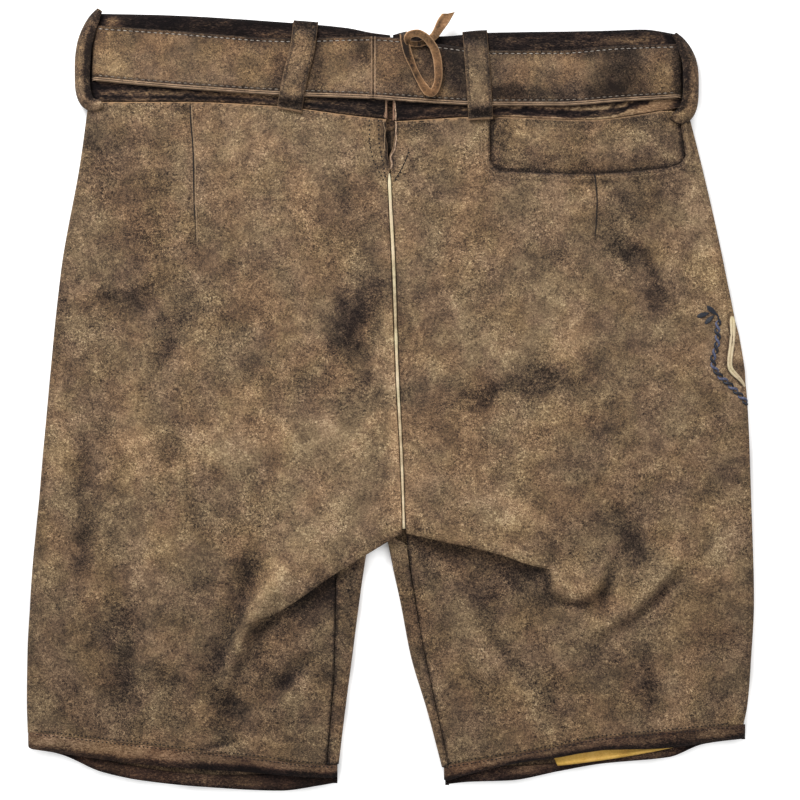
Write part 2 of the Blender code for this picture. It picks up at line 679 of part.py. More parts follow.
# Belt loops at the sides: they bow out round the belt's fold. x is the middle of the oval
# that each section follows, wide and high its half axes.
SIDE_LOOPS = {
    "loop_side_left": (
        -1,
        table(
            "y x wide high",
            (291.5, 218.2, 5.6, 5.2),
            (287, 218.8, 7.0, 6.4),
            (282, 219.5, 10.0, 7.9),
            (272, 222.5, 11.5, 7.9),
            (262, 225.5, 11.0, 7.9),
            (238, 225.5, 11.0, 8.5),
            (229, 224.5, 9.5, 6.4),
            (222, 224.0, 7.6, 5.6),
            (217.5, 224.3, 6.0, 5.2),
        ),
    ),
    "loop_side_right": (
        1,
        table(
            "y x wide high",
            (276, 211.8, 5.4, 5.4),
            (272, 211.9, 7.3, 6.6),
            (268, 213.0, 9.8, 8.1),
            (259, 217.0, 11.0, 8.1),
            (250, 219.0, 11.2, 8.1),
            (225, 219.2, 11.0, 8.7),
            (217.5, 220.5, 8.8, 6.6),
            (213, 220.8, 7.8, 5.8),
        ),
    ),
}
LOOP_MIDDLE = 5.6  # height of the ovals' middle
LOOP_TURN = np.radians([-40, 108])


def build_side_loops(finish):
    for name, (out, line) in SIDE_LOOPS.items():
        path = along_path(np.stack(list(line.values()), axis=1), 13)
        turn = np.linspace(*LOOP_TURN, 8)
        x = out * (path[:, 1:2] + path[:, 2:3] * np.cos(turn))
        z = LOOP_MIDDLE + path[:, 3:4] * np.sin(turn)
        y = path[:, :1] + 0 * turn
        wall(name, np.dstack([x, y, z]), LOOP_WALL, finish, (out, 0, 0.3))


# ---------------------------------------------------------------- pockets and piping


def build_back_pocket(finish):
    """The leather that shows in the pocket's cut. Its margin lies under the panel."""
    margin = 4.0
    across = np.concatenate([[0, 0.034], np.linspace(0.1, 0.92, 7), [0.99, 1]])
    up = np.array([0, 0.12, 0.3, 0.55, 0.8, 0.9, 1.0])[:, None]
    left = POCKET["left"] - margin
    right = POCKET["right"] + (POCKET["right_top"] - POCKET["right"]) * up + 1.0
    x = left + (right - left) * across
    panel = back_right_points()[:, : -BACK_ROLL_STEPS - 1]
    foot = np.interp(x, *row_line(panel[POCKET_ROW])) - margin
    top = np.minimum(np.interp(x, *row_line(panel[0])) - SEAM_GAP / 2, POCKET["top"])
    y = foot + (top - foot) * up
    under = back_base(x, y) - LEATHER - SEAM_GAP - 0.1
    inset = np.minimum(np.minimum(x - left - margin, right - 1 - x), y - foot - margin) - 1.5
    wall("back_pocket", np.dstack([x, y, under + 1.9 * ease(inset / 9)]), 1.4, finish, UP)


SIDE_POCKET_EDGE = table(
    "y in", (66, 3.5), (60, 6.6), (44, 8.4), (28, 11.6), (21, 12.2), (17, 8.8), (12, 2.6)
)
PIPING_RADIUS = 1.5


def side_x_right(y):
    return curve(BACK_RIGHT["side_y"], BACK_RIGHT["side_x"], y)


def build_side_pocket(finish, pale):
    """A patch over the side seam with a piped edge; its front half lies on the table."""
    y = np.linspace(SIDE_POCKET["top"], SIDE_POCKET["foot"], 13)[:, None]
    edge_in = curve(SIDE_POCKET_EDGE["y"], SIDE_POCKET_EDGE["in"], y)
    side = side_x_right(y)
    off = SEAM_GAP + LOOP_WALL + 0.15
    turn = np.linspace(0, math.pi / 2, 5)
    seam_z = side_seam_height(side, y)
    inner_x = side - BACK_ROLL
    top_z = back_base(inner_x, y) + folds_at(inner_x, y) + off
    x_top = side - edge_in
    flat = np.maximum(edge_in - BACK_ROLL, 0.6)
    x_flat = inner_x - flat * np.array([1.0, 0.5])
    x_roll = inner_x + (BACK_ROLL + off) * np.sin(turn)
    z_roll = seam_z + (top_z - seam_z) * (ROLL_RIM + (1 - ROLL_RIM) * np.cos(turn))
    x_under = side - FRONT_ROLL + (FRONT_ROLL + off) * np.cos(turn[1:])
    z_under = seam_z * (1 - np.sin(turn[1:]))
    reach = SIDE_POCKET["reach"] * (0.35 + 0.65 * edge_in / SIDE_POCKET_EDGE["in"].max())
    x_front = side - FRONT_ROLL - np.array([0.5, 1.0]) * reach
    x = np.hstack([x_flat, x_roll, x_under, x_front])
    z = np.hstack([top_z + 0 * x_flat, z_roll, z_under, 0 * x_front])
    wall("side_pocket", np.dstack([x, y + 0 * x, z]), LOOP_WALL, finish, (1, 0, 0.001))
    rim = np.hstack([np.minimum(x_flat[:, :1], x_top) - PIPING_RADIUS - 3 * SEAM_GAP, y])
    height = back_base(rim[:, 0], rim[:, 1]) + folds_at(rim[:, 0], rim[:, 1]) + SEAM_GAP + 0.1
    path = np.column_stack([rim, height + PIPING_RADIUS])
    tube("side_pocket_piping", along_path(path, 14), PIPING_RADIUS, pale)


def build_centre_piping(pale):
    """The strip of pale leather sewn into the centre back seam."""
    down = np.linspace(49, 382, 26)
    left = section_points(BACK_LEFT, down, np.array([0.0]))
    right = section_points(BACK_RIGHT, down, np.array([0.0]))
    x = (left[0] + right[0]) / 2
    y = (left[1] + right[1]) / 2
    share = curve(LIP_PROFILE["down"], LIP_PROFILE["share"], down)[:, None]
    z = back_base(x, y) + folds_at(x, y) + share * LIP["left"]["rise"][0] + 0.1
    half = (right[0] - left[0]) / 2 - SEAM_GAP
    across = np.array([-1.0, -0.45, 0.45, 1.0])
    crown = np.array([-0.35, 0.25, 0.25, -0.35])
    points = np.dstack([x + half * across, y + 0 * across, z + crown])
    wall("centre_piping", points, LEATHER, pale, UP)


# ---------------------------------------------------------------- hems

# The lower edges of the turned hems, side to inner leg
HEM_BACK_LEFT = table(
    "x bottom",
    (-272, -260),
    (-180, -272.5),
    (-105, -279),
    (-60, -283.5),
    (-39.5, -284),
)
HEM_BACK_RIGHT = table(
    "x bottom",
    (265, -253),
    (202, -260),
    (155, -261.5),
    (112.5, -267.5),
    (60, -276),
    (40.5, -282),
)
HEM_FRONT_LEFT = table(
    "x bottom",
    (-271.5, -261),
    (-247.5, -265.5),
    (-217.5, -278),
    (-187.5, -285),
    (-142.5, -290),
    (-82.5, -293),
    (-52.5, -289),
    (-39.5, -287),
)
HEM_FRONT_RIGHT = table(
    "x bottom",
    (265, -255),
    (236, -257.5),
    (210, -268),
    (157.5, -273),
    (127.5, -278.5),
    (90, -285),
    (60, -285.5),
    (41.5, -288),
)
HEM_TOP = 7.4
HEM_ROLL = 4.2


def hem_columns(side_x, inner_x, count):
    """x of the columns across a hem, and what is left of its height as its ends turn in."""
    out, fall = quarter_turn(3, rim=0.15)
    inward = np.sign(inner_x - side_x) * HEM_ROLL
    start, end = side_x + inward, inner_x - inward
    x = [(start - inward * out)[::-1], np.linspace(start, end, count), end + inward * out]
    return np.concatenate(x), np.concatenate([fall[::-1], np.ones(count), fall])


def build_hems(finish):
    seam = HEM_TOP / 2
    left_back, right_back = back_left_points()[-1, INSEAM_COLUMN:], back_right_points()[-1]
    left_front, right_front = front_left_points()[-1], front_right_points()[-1]
    for name, edges, back, front in (
        ("hem_back_left", HEM_BACK_LEFT, left_back, left_front),
        ("hem_back_right", HEM_BACK_RIGHT, right_back, right_front),
    ):
        x, fall = hem_columns(edges["x"][0], edges["x"][-1], 13)
        edge = np.vstack([back[: -BACK_ROLL_STEPS - 1], front[-2:]])
        top = np.interp(x, *row_line(edge)) - 2.5 * SEAM_GAP
        bottom = curve(edges["x"], edges["bottom"], x)
        down = np.array([0, 0.35, 0.8, 1.0])[:, None]
        crown = np.array([-0.5, 0, -0.2, -1.2])[:, None]
        y = top + (bottom - top) * down
        z = seam + SEAM_GAP + (HEM_TOP + crown - seam - SEAM_GAP) * fall
        wall(name, np.dstack([x + 0 * y, y, z]), HEM_WALL - 0.2, finish, UP)
    for name, edges, points in (
        ("hem_front_left", HEM_FRONT_LEFT, left_front),
        ("hem_front_right", HEM_FRONT_RIGHT, right_front),
    ):
        x, fall = hem_columns(edges["x"][0], edges["x"][-1], 13)
        bottom = curve(edges["x"], edges["bottom"], x)
        top = np.interp(x, *row_line(points[3:-5])) - 1.5 * SEAM_GAP
        y = bottom + (top - bottom) * np.array([0, 0.5, 1.0])[:, None]
        z = (seam - SEAM_GAP) * (1 - fall) + 0 * y
        wall(name, np.dstack([x + 0 * y, y, z]), HEM_WALL - 0.2, finish, DOWN)


def build_facing(finish):
    """The pale facing inside the right hem, where the back hem lets it show."""
    x = np.linspace(125, 215, 10)
    bottom = np.interp(x, *row_line(front_right_points()[-1, 3:-5])) + SEAM_GAP
    y = bottom + np.array([0, 8.0, 16.0])[:, None]
    z = LEATHER + SEAM_GAP + 0.9 + 0 * y
    wall("hem_facing_right", np.dstack([x + 0 * y, y, z]), 0.9, finish, UP)


# ---------------------------------------------------------------- lace

# Middle line of the lace that laces the slit: down, round the loop, back up, over the top
# and out to its free end. z is its height above the table.
LACE = table(
    "x y z",
    (8, 274.4, 5.5),
    (8.4, 275, 9),
    (9.6, 273.6, 12.2),
    (11.5, 268.5, 13.3),
    (14, 258, 13.4),
    (18, 246, 13.7),
    (24, 236, 13.9),
    (30.5, 230, 14.0),
    (35, 236, 13.9),
    (36.5, 246, 13.8),
    (36, 256, 14.2),
    (33.5, 266, 15.8),
    (28, 273, 17.6),
    (21, 276.5, 17.8),
    (14.8, 277.5, 17.2),
    (13.8, 281, 14.2),
    (21, 279, 12.8),
    (30.5, 276, 12.9),
    (36.5, 281, 12.0),
    (40.5, 286, 10.0),
    (45, 291.5, 7.5),
)


def build_lace(finish):
    path = np.stack(list(LACE.values()), axis=1)
    tube("lace", along_path(path, 40), LACE_RADIUS, finish)


def main():
    for obj in list(bpy.data.objects):
        bpy.data.objects.remove(obj, do_unlink=True)
    suede = material("suede", (0.18, 0.12, 0.075), 0.9)
    dark = material("dark_suede", (0.07, 0.045, 0.035), 0.9)
    pale = material("pale_leather", (0.62, 0.48, 0.28), 0.7)
    yellow = material("yellow_facing", (0.65, 0.42, 0.12), 0.9)
    thong = material("thong", (0.33, 0.19, 0.09), 0.6)
    brass = material("old_brass", (0.35, 0.25, 0.12), 0.4, 1.0)
    build_back(suede)
    build_front(suede)
    build_flap(suede)
    build_waistband(dark)
    build_belt(suede, brass)
    build_back_loops(suede)
    build_side_loops(suede)
    build_back_pocket(suede)
    build_side_pocket(suede, pale)
    build_centre_piping(pale)
    build_hems(dark)
    build_facing(yellow)
    build_lace(thong)


main()
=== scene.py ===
import math

import bmesh
import bpy
import numpy as np
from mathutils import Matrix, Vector
from mathutils.bvhtree import BVHTree


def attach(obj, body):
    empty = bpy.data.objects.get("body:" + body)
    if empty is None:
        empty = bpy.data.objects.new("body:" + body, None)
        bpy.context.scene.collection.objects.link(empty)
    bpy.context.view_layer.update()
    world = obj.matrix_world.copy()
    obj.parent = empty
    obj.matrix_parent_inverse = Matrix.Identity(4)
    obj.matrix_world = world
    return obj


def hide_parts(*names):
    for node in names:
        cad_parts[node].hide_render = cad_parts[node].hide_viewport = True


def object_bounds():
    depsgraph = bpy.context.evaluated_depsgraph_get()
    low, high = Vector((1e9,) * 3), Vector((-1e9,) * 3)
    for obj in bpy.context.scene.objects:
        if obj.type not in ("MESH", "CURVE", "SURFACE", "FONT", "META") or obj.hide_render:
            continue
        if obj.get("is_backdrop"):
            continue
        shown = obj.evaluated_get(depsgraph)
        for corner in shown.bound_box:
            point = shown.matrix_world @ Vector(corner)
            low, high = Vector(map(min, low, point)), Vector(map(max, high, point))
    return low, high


# Short leather trousers laid face down on a table. X runs to the wearer's right, Y up to the
# waist and Z up from the table. Tables are in millimetres.

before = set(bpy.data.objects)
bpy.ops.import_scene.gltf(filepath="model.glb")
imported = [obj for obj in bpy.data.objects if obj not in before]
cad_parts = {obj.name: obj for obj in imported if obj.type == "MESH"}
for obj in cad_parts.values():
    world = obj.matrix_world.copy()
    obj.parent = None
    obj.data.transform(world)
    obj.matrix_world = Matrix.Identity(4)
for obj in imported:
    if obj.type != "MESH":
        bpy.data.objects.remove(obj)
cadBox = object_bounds()
mm = 0.001
upward, downward = (0, 0, 1), (0, 0, -1)
print("frame loaded:", len(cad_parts), "nodes")


# The camera looks straight down and sees a square of `field`

camera = {"x": 7.5, "y": 0.0, "lookZ": 8.0, "field": 600.0, "lens": 100.0, "sensor": 36.0}
lights = {
    "key": {"at": (-0.6, 1.25, 0.95), "size": 0.8, "power": 27.0},
    "fill": {"at": (0.9, -0.3, 1.5), "size": 1.8, "power": 6.0},
    "sky": 0.5,
}
# The floor's glow is painted light that washes out the shadows cast round the garment
floor = {
    "tone": (0.86, 0.86, 0.855), "glow": 0.62, "z": -0.0003, "half": 0.45, "cells": 180, "reach": 5
}


def makeCamera():
    data = bpy.data.cameras.new("camera")
    data.lens = camera["lens"]
    data.sensor_width = camera["sensor"]
    distance = camera["field"] * camera["lens"] / camera["sensor"]
    made = bpy.data.objects.new("camera", data)
    made.location = (camera["x"] * mm, camera["y"] * mm, (camera["lookZ"] + distance) * mm)
    bpy.context.scene.collection.objects.link(made)
    bpy.context.scene.camera = made


def makeLights():
    for name in ("key", "fill"):
        light = lights[name]
        data = bpy.data.lights.new(name, "AREA")
        data.shape = "DISK"
        data.size = light["size"]
        data.energy = light["power"]
        made = bpy.data.objects.new(name, data)
        made.location = light["at"]
        aim = -Vector(light["at"])
        made.rotation_euler = aim.to_track_quat("-Z", "Y").to_euler()
        bpy.context.scene.collection.objects.link(made)
    world = bpy.data.worlds.new("studio")
    world.use_nodes = True
    world.node_tree.nodes["Background"].inputs["Color"].default_value = (1, 1, 1, 1)
    world.node_tree.nodes["Background"].inputs["Strength"].default_value = lights["sky"]
    bpy.context.scene.world = world
    bpy.context.scene.view_settings.view_transform = "Standard"


makeCamera()
makeLights()
print("camera and lights")


# Shader nodes


def feed(tree, socket, value):
    # Wires an output to a socket, or sets the socket's own value
    if hasattr(value, "is_output"):
        tree.links.new(value, socket)
    else:
        socket.default_value = value


def addNode(tree, kind, at, sockets=None, **values):
    # Values go to the sockets that bear their names, or else to the node's settings
    made = tree.nodes.new("ShaderNode" + kind)
    made.location = at
    for name, value in values.items():
        if name in made.inputs:
            feed(tree, made.inputs[name], value)
        else:
            setattr(made, name, value)
    for key, value in (sockets or {}).items():
        feed(tree, made.inputs[key], value)
    return made


def mathNode(tree, operation, at, *values):
    return addNode(tree, "Math", at, dict(enumerate(values)), operation=operation).outputs[0]


def noiseNode(tree, at, place, scale, detail=3.0, roughness=0.6, distortion=0.0):
    made = addNode(
        tree, "TexNoise", at, Vector=place, Scale=scale, Detail=detail, Roughness=roughness,
        Distortion=distortion,
    )
    return made.outputs[0]


def rangeNode(tree, at, value, source=(0.0, 1.0), target=(0.0, 1.0), kind="SMOOTHSTEP"):
    ends = dict(zip(("From Min", "From Max", "To Min", "To Max"), (*source, *target)))
    return addNode(tree, "MapRange", at, ends, interpolation_type=kind, Value=value).outputs[0]


def mixNode(tree, at, factor, first, second, blend="MIX"):
    sockets = {0: factor, 6: first, 7: second}
    return addNode(tree, "Mix", at, sockets, data_type="RGBA", blend_type=blend).outputs[2]


def linear(levels):
    # Screen levels from 0 to 255 as a linear colour
    shares = [level / 255 for level in levels]
    return (*(c / 12.92 if c <= 0.04045 else ((c + 0.055) / 1.055) ** 2.4 for c in shares), 1)


def rampNode(tree, at, value, stops):
    made = addNode(tree, "ValToRGB", at, Fac=value)
    elements = made.color_ramp.elements
    while len(elements) < len(stops):
        elements.new(0.5)
    for element, (place, levels) in zip(elements, stops):
        element.position = place
        element.color = linear(levels)
    return made.outputs[0]


# Noise of the nap's layers: scale, detail, roughness and distortion of each
napLayers = {
    "Cloud": (28.0, 3.0, 0.6, 1.0),
    "Mottle": (105.0, 3.0, 0.6, 0.4),
    "Speckle": (660.0, 2.0, 0.75, 0.0),
}
vein = {
    "noise": (170.0, 3.0, 0.55, 1.0), "stretch": (1.0, 2.1, 1.0), "turn": (0, 0, 0.12),
    "width": 0.035, "tone": -0.22,
}
curl = {"noise": (690.0, 1.0, 0.5, 1.4), "uneven": 2.4}
hues = {"Warmth": (24.0, 0.38, 0.66), "Blush": (44.0, 0.36, 0.64)}  # scale and range
napRelief = {"Speckle": 0.9, "Mottle": 0.9, "vein": -0.6, "curl": 1.4}


def newGroup(name, inputs, outputs):
    # A node group that takes a place and some strengths
    group = bpy.data.node_groups.new(name, "ShaderNodeTree")
    group.interface.new_socket("Place", in_out="INPUT", socket_type="NodeSocketVector")
    for socket in inputs:
        made = group.interface.new_socket(socket, in_out="INPUT", socket_type="NodeSocketFloat")
        made.default_value = 0.5
    for socket in outputs:
        group.interface.new_socket(socket, in_out="OUTPUT", socket_type="NodeSocketFloat")
    start, end = (group.nodes.new("NodeGroup" + way) for way in ("Input", "Output"))
    start.location, end.location = (-1200, 0), (900, 0)
    return group, start.outputs, end.inputs


def makeNapGroup():
    # Nap of antiqued suede: cloudy, mottled and finely speckled, with shallow grain creases
    strengths = ("Tone", "Cloud", "Mottle", "Speckle", "Crease", "Grain")
    group, given, ends = newGroup("nap", strengths, ("Value", "Warmth", "Blush", "Relief"))
    place, value = given["Place"], given["Tone"]
    found = {}
    for row, (name, look) in enumerate(napLayers.items()):
        rowY = 300 - 260 * row
        layer = noiseNode(group, (-900, rowY), place, *look)
        layer = mathNode(group, "SUBTRACT", (-680, rowY), layer, 0.5)
        at = (-460 + 60 * row, rowY)
        value = mathNode(group, "MULTIPLY_ADD", at, layer, given[name], value)
        found[name] = layer
    drawn = addNode(
        group, "Mapping", (-900, -520), Vector=place, Scale=vein["stretch"], Rotation=vein["turn"]
    )
    ridge = noiseNode(group, (-700, -520), drawn.outputs[0], *vein["noise"])
    ridge = mathNode(group, "SUBTRACT", (-500, -520), ridge, 0.5)
    ridge = mathNode(group, "ABSOLUTE", (-340, -520), ridge)
    line = rangeNode(group, (-180, -520), ridge, (0.0, vein["width"]), (1.0, 0.0))
    patchy = mathNode(group, "ADD", (-180, -720), found["Mottle"], 0.5)
    line = mathNode(group, "MULTIPLY", (20, -520), line, patchy)
    found["vein"] = mathNode(group, "MULTIPLY", (200, -520), line, given["Crease"])
    value = mathNode(group, "MULTIPLY_ADD", (400, 0), found["vein"], vein["tone"], value)
    pebble = noiseNode(group, (-900, -860), place, *curl["noise"])
    pebble = mathNode(group, "SUBTRACT", (-680, -860), pebble, 0.5)
    patchy = mathNode(group, "MULTIPLY_ADD", (-560, -1000), found["Cloud"], curl["uneven"], 1.0)
    pebble = mathNode(group, "MULTIPLY", (-520, -860), pebble, patchy)
    found["curl"] = mathNode(group, "MULTIPLY", (-460, -860), pebble, given["Grain"])
    value = mathNode(group, "ADD", (600, 0), found["curl"], value)
    for row, (name, (scale, low, high)) in enumerate(hues.items()):
        rowY = -1120 - 300 * row
        hue = noiseNode(group, (-900, rowY), place, scale, 3.0, 0.55)
        feed(group, ends[name], rangeNode(group, (-680, rowY), hue, (low, high)))
    relief = None
    for column, (name, share) in enumerate(napRelief.items()):
        at = (200 + 180 * column, -260)
        if relief is None:
            relief = mathNode(group, "MULTIPLY", at, found[name], share)
        else:
            relief = mathNode(group, "MULTIPLY_ADD", at, found[name], share, relief)
    feed(group, ends["Value"], value)
    feed(group, ends["Relief"], relief)
    return group


napGroup = makeNapGroup()


def newFinish(name):
    made = bpy.data.materials.new(name)
    made.use_nodes = True
    return made, made.node_tree, made.node_tree.nodes["Principled BSDF"]


def leatherFinish(
    name, stops, raw, nap, roughness=(0.97, 0.8), bump=0.6, warm=0.4, stretch=(1, 1)
):
    # Suede: the mark "tone" and the nap choose its colour, and "raw" bares the cut leather
    made, tree, shader = newFinish(name)
    place = addNode(tree, "TexCoord", (-1100, 0)).outputs["Object"]
    drawn = addNode(tree, "Mapping", (-1000, -100), Vector=place, Scale=(*stretch, 1))
    tone = addNode(tree, "Attribute", (-1100, 300), attribute_name="tone")
    rawMark = addNode(tree, "Attribute", (-700, 400), attribute_name="raw")
    amounts = dict(zip(("Cloud", "Mottle", "Speckle", "Crease", "Grain"), nap))
    group = addNode(
        tree, "Group", (-850, 100), amounts, node_tree=napGroup, Place=drawn.outputs[0],
        Tone=tone.outputs["Fac"],
    )
    value = group.outputs["Value"]
    colour = rampNode(tree, (-620, 150), value, stops)
    amount = mathNode(tree, "MULTIPLY", (-620, -60), group.outputs["Warmth"], warm)
    colour = mixNode(tree, (-460, 60), amount, colour, (1.13, 0.98, 0.78, 1), "MULTIPLY")
    rosy = mixNode(
        tree, (-460, -160), group.outputs["Blush"], (0.985, 1.008, 0.97, 1),
        (1.022, 0.988, 1.0, 1),
    )
    colour = mixNode(tree, (-380, 60), 1.0, colour, rosy, "MULTIPLY")
    colour = mixNode(tree, (-300, 200), rawMark.outputs["Fac"], colour, linear(raw))
    lift = addNode(
        tree, "Bump", (-300, -350), Strength=bump, Distance=0.0011, Height=group.outputs["Relief"]
    )
    looks = {
        "Base Color": colour,
        "Roughness": rangeNode(tree, (-300, -100), value, target=roughness, kind="LINEAR"),
        "Normal": lift.outputs[0],
        "Sheen Weight": 0.03,
        "Sheen Roughness": 0.5,
        "Specular IOR Level": 0.12,
    }
    for socket, look in looks.items():
        feed(tree, shader.inputs[socket], look)
    return made


def plainFinish(name, colour, other, roughness, scale, metallic=0.0, bump=0.3):
    # Thread, cut edges and metal: two colours in a fine noise
    made, tree, shader = newFinish(name)
    place = addNode(tree, "TexCoord", (-900, 0)).outputs["Object"]
    noise = noiseNode(tree, (-700, 0), place, scale)
    mixed = rampNode(tree, (-480, 0), noise, ((0.36, colour), (0.64, other)))
    lift = addNode(tree, "Bump", (-300, -300), Strength=bump, Distance=0.0005, Height=noise)
    looks = {
        "Base Color": mixed, "Normal": lift.outputs[0], "Roughness": roughness,
        "Metallic": metallic,
    }
    for socket, look in looks.items():
        feed(tree, shader.inputs[socket], look)
    return made


suedeStops = (
    (0.0, (34, 28, 26)), (0.24, (74, 61, 51)), (0.5, (119, 98, 77)),
    (0.74, (160, 135, 105)), (1.0, (210, 184, 148)),
)
darkStops = (
    (0.0, (17, 13, 14)), (0.28, (42, 33, 31)), (0.52, (84, 66, 53)),
    (0.76, (128, 103, 78)), (1.0, (172, 145, 114)),
)
suede = leatherFinish(
    "antique_suede", suedeStops, (180, 144, 108), (0.42, 0.66, 0.56, 0.7, 1.15)
)
beltSuede = leatherFinish(
    "belt_suede", suedeStops, (226, 190, 156), (0.4, 0.5, 0.42, 0.6, 0.85), bump=0.5,
    warm=0.6,
)
darkSuede = leatherFinish(
    "worn_dark_suede", darkStops, (200, 156, 128), (0.5, 0.9, 0.9, 0.6, 0.9),
    stretch=(0.5, 1.5),
)
hemSuede = leatherFinish(
    "hem_suede",
    ((0.0, (23, 17, 17)), (0.3, (59, 44, 38)), (0.6, (109, 85, 66)), (1.0, (168, 140, 112))),
    (200, 156, 128), (0.4, 0.55, 0.5, 0.6, 0.95), stretch=(0.7, 1.2),
)
thong = leatherFinish(
    "thong_leather", ((0.0, (34, 26, 21)), (0.5, (134, 102, 72)), (1.0, (206, 168, 128))),
    (204, 166, 128), (0.6, 0.8, 0.6, 0.8, 0.1), roughness=(0.75, 0.55), bump=0.4,
)
paleLeather = leatherFinish(
    "pale_piping", ((0.0, (120, 102, 78)), (0.5, (208, 192, 158)), (1.0, (236, 224, 196))),
    (230, 205, 165), (0.3, 0.7, 0.6, 0.3, 0.05), roughness=(0.75, 0.55), bump=0.25, warm=0.2,
)
yellowFacing = leatherFinish(
    "yellow_facing", ((0.0, (140, 100, 40)), (0.5, (206, 166, 86)), (1.0, (228, 192, 120))),
    (220, 180, 100), (0.3, 0.6, 0.7, 0.3, 0.2), bump=0.25, warm=0.2,
)
paleThread = plainFinish("pale_thread", (112, 104, 96), (188, 178, 166), 0.8, 900)
dullThread = plainFinish("dull_thread", (84, 74, 66), (150, 138, 124), 0.85, 900)
brownThread = plainFinish("brown_thread", (34, 27, 23), (86, 68, 52), 0.85, 1800)
needleHole = plainFinish("needle_hole", (16, 12, 11), (34, 26, 22), 0.95, 1800)
blueThread = plainFinish("blue_thread", (10, 13, 18), (34, 40, 56), 0.5, 900)
greyThread = plainFinish("grey_blue_thread", (52, 56, 76), (104, 108, 134), 0.6, 900)
paleEdge = plainFinish("pale_edge", (120, 98, 74), (164, 138, 108), 0.9, 900)
rawEdge = plainFinish("raw_edge", (122, 96, 76), (196, 166, 138), 0.9, 700)
brass = plainFinish("old_brass", (120, 96, 56), (172, 142, 92), 0.42, 260, metallic=1.0)
print("materials")


# Driving dimensions, in millimetres
leather = 1.7  # wall of the panels
seamGap = 0.3
leastSide = 0.0102  # of a sheet, in metres
waistY = 214  # the back panels' top edge, at the slit
pipingTop = 168  # above it, the centre seam is an open slit
beltFoot, beltHead = 240, 262  # between these, the belt hides the waistband
overLeg = 4  # the front stands higher than this where it is wrapped round a leg

# Heights of outer faces above the table, in millimetres
legTop = 6.8
waistTop = 7.8
flapLift = 2.0  # the front panels lie on the flap
waistbandFront = 2.7  # the front waistband lies on the belt
sideSeam = 3.4
backRoll = 6.0  # how far in from the side the back starts to turn down
frontRoll = 3.3
rollRim = 0.3  # share of a roll's height that ends it upright


def table(columns, *rows):
    return dict(zip(columns.split(), np.array(rows, float).T))


def curve(x, y, at):
    x, y = np.asarray(x, float), np.asarray(y, float)
    order = np.argsort(x)
    x, y = x[order], y[order]
    at = np.clip(np.asarray(at, float), x[0], x[-1])
    step = np.diff(x)
    slope = np.diff(y) / step
    tangent = np.empty_like(x)
    tangent[0], tangent[-1] = slope[0], slope[-1]
    sameWay = slope[:-1] * slope[1:] > 0
    inner = np.zeros(len(x) - 2)
    before, after = slope[:-1][sameWay], slope[1:][sameWay]
    inner[sameWay] = 2 * before * after / (before + after)
    tangent[1:-1] = inner
    k = np.clip(np.searchsorted(x, at, side="right") - 1, 0, len(x) - 2)
    t = (at - x[k]) / step[k]
    return (
        y[k] * (1 + 2 * t) * (1 - t) ** 2
        + tangent[k] * step[k] * t * (1 - t) ** 2
        + y[k + 1] * t * t * (3 - 2 * t)
        + tangent[k + 1] * step[k] * t * t * (t - 1)
    )


def ease(t):
    t = np.clip(t, 0, 1)
    return t * t * (3 - 2 * t)


def bell(t):
    return np.exp(-(t**2))


def bands(at, *rows):
    # Soft bands across a measure: middle, half width and height of each
    return sum(height * bell((at - middle) / wide) for middle, wide, height in rows)


def read(rows, column, at):
    # A column of a table, smoothly between its rows, over the table's first column
    return curve(next(iter(rows.values())), rows[column], at)


def rowsOf(rows):
    return np.column_stack(list(rows.values()))


def unit(rows):
    return rows / np.linalg.norm(rows, axis=1)[:, None]


def headings(path):
    return unit(np.gradient(path, axis=0))


def leftOf(ahead):
    return np.column_stack([-ahead[:, 1], ahead[:, 0]])


def smoothed(path, reach):
    # Each point becomes the mean of those up to `reach` steps away
    share = np.ones(2 * reach + 1) / (2 * reach + 1)
    padded = np.pad(path, ((reach, reach), (0, 0)), "edge")
    return np.column_stack([np.convolve(column, share, "valid") for column in padded.T])


def nearPath(x, y, path):
    best = np.full(np.shape(x), np.inf)
    for (ax, ay), (bx, by) in zip(path[:-1], path[1:]):
        dx, dy = bx - ax, by - ay
        t = np.clip(((x - ax) * dx + (y - ay) * dy) / (dx * dx + dy * dy), 0, 1)
        best = np.minimum(best, np.hypot(x - ax - t * dx, y - ay - t * dy))
    return best


# Meshes


def meshOf(name, bm):
    mesh = bpy.data.meshes.new(name)
    bm.to_mesh(mesh)
    bm.free()
    return mesh


def setMark(mesh, mark, values):
    layer = mesh.attributes.new(mark, "FLOAT", "POINT")
    layer.data.foreach_set("value", np.ascontiguousarray(values, np.float32))


def joinScene(name, mesh, finish):
    made = bpy.data.objects.new(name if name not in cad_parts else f"{name}_skin", mesh)
    mesh.materials.append(finish)
    bpy.context.scene.collection.objects.link(made)
    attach(made, "root")
    return made


def valuesOf(items, key, width=1):
    values = np.empty(len(items) * width)
    items.foreach_get(key, values)
    return values.reshape(-1, width)


def layGrid(name, points, outward, cut):
    # A grid on the points, facing outward, with the row and the column of each vertex
    rows, columns = points.shape[0] - 1, points.shape[1] - 1
    bm = bmesh.new()
    bmesh.ops.create_grid(bm, x_segments=columns, y_segments=rows, size=0.5)
    for v in bm.verts:
        v.co = (round((v.co.x + 0.5) * columns), round((v.co.y + 0.5) * rows), 0)
    if cut:
        gone = [f for f in bm.faces if cut(f.calc_center_median().y, f.calc_center_median().x)]
        bmesh.ops.delete(bm, geom=gone, context="FACES")
    mesh = meshOf(name, bm)
    column, row, _ = np.rint(valuesOf(mesh.vertices, "co", 3).T).astype(int)
    mesh.vertices.foreach_set("co", (points[row, column] * mm).ravel())
    mesh.update()
    facings = valuesOf(mesh.polygons, "normal", 3) @ np.array(outward, float)
    if (facings * valuesOf(mesh.polygons, "area")[:, 0]).sum() < 0:
        mesh.flip_normals()
    mesh.shade_smooth()
    return mesh, row, column


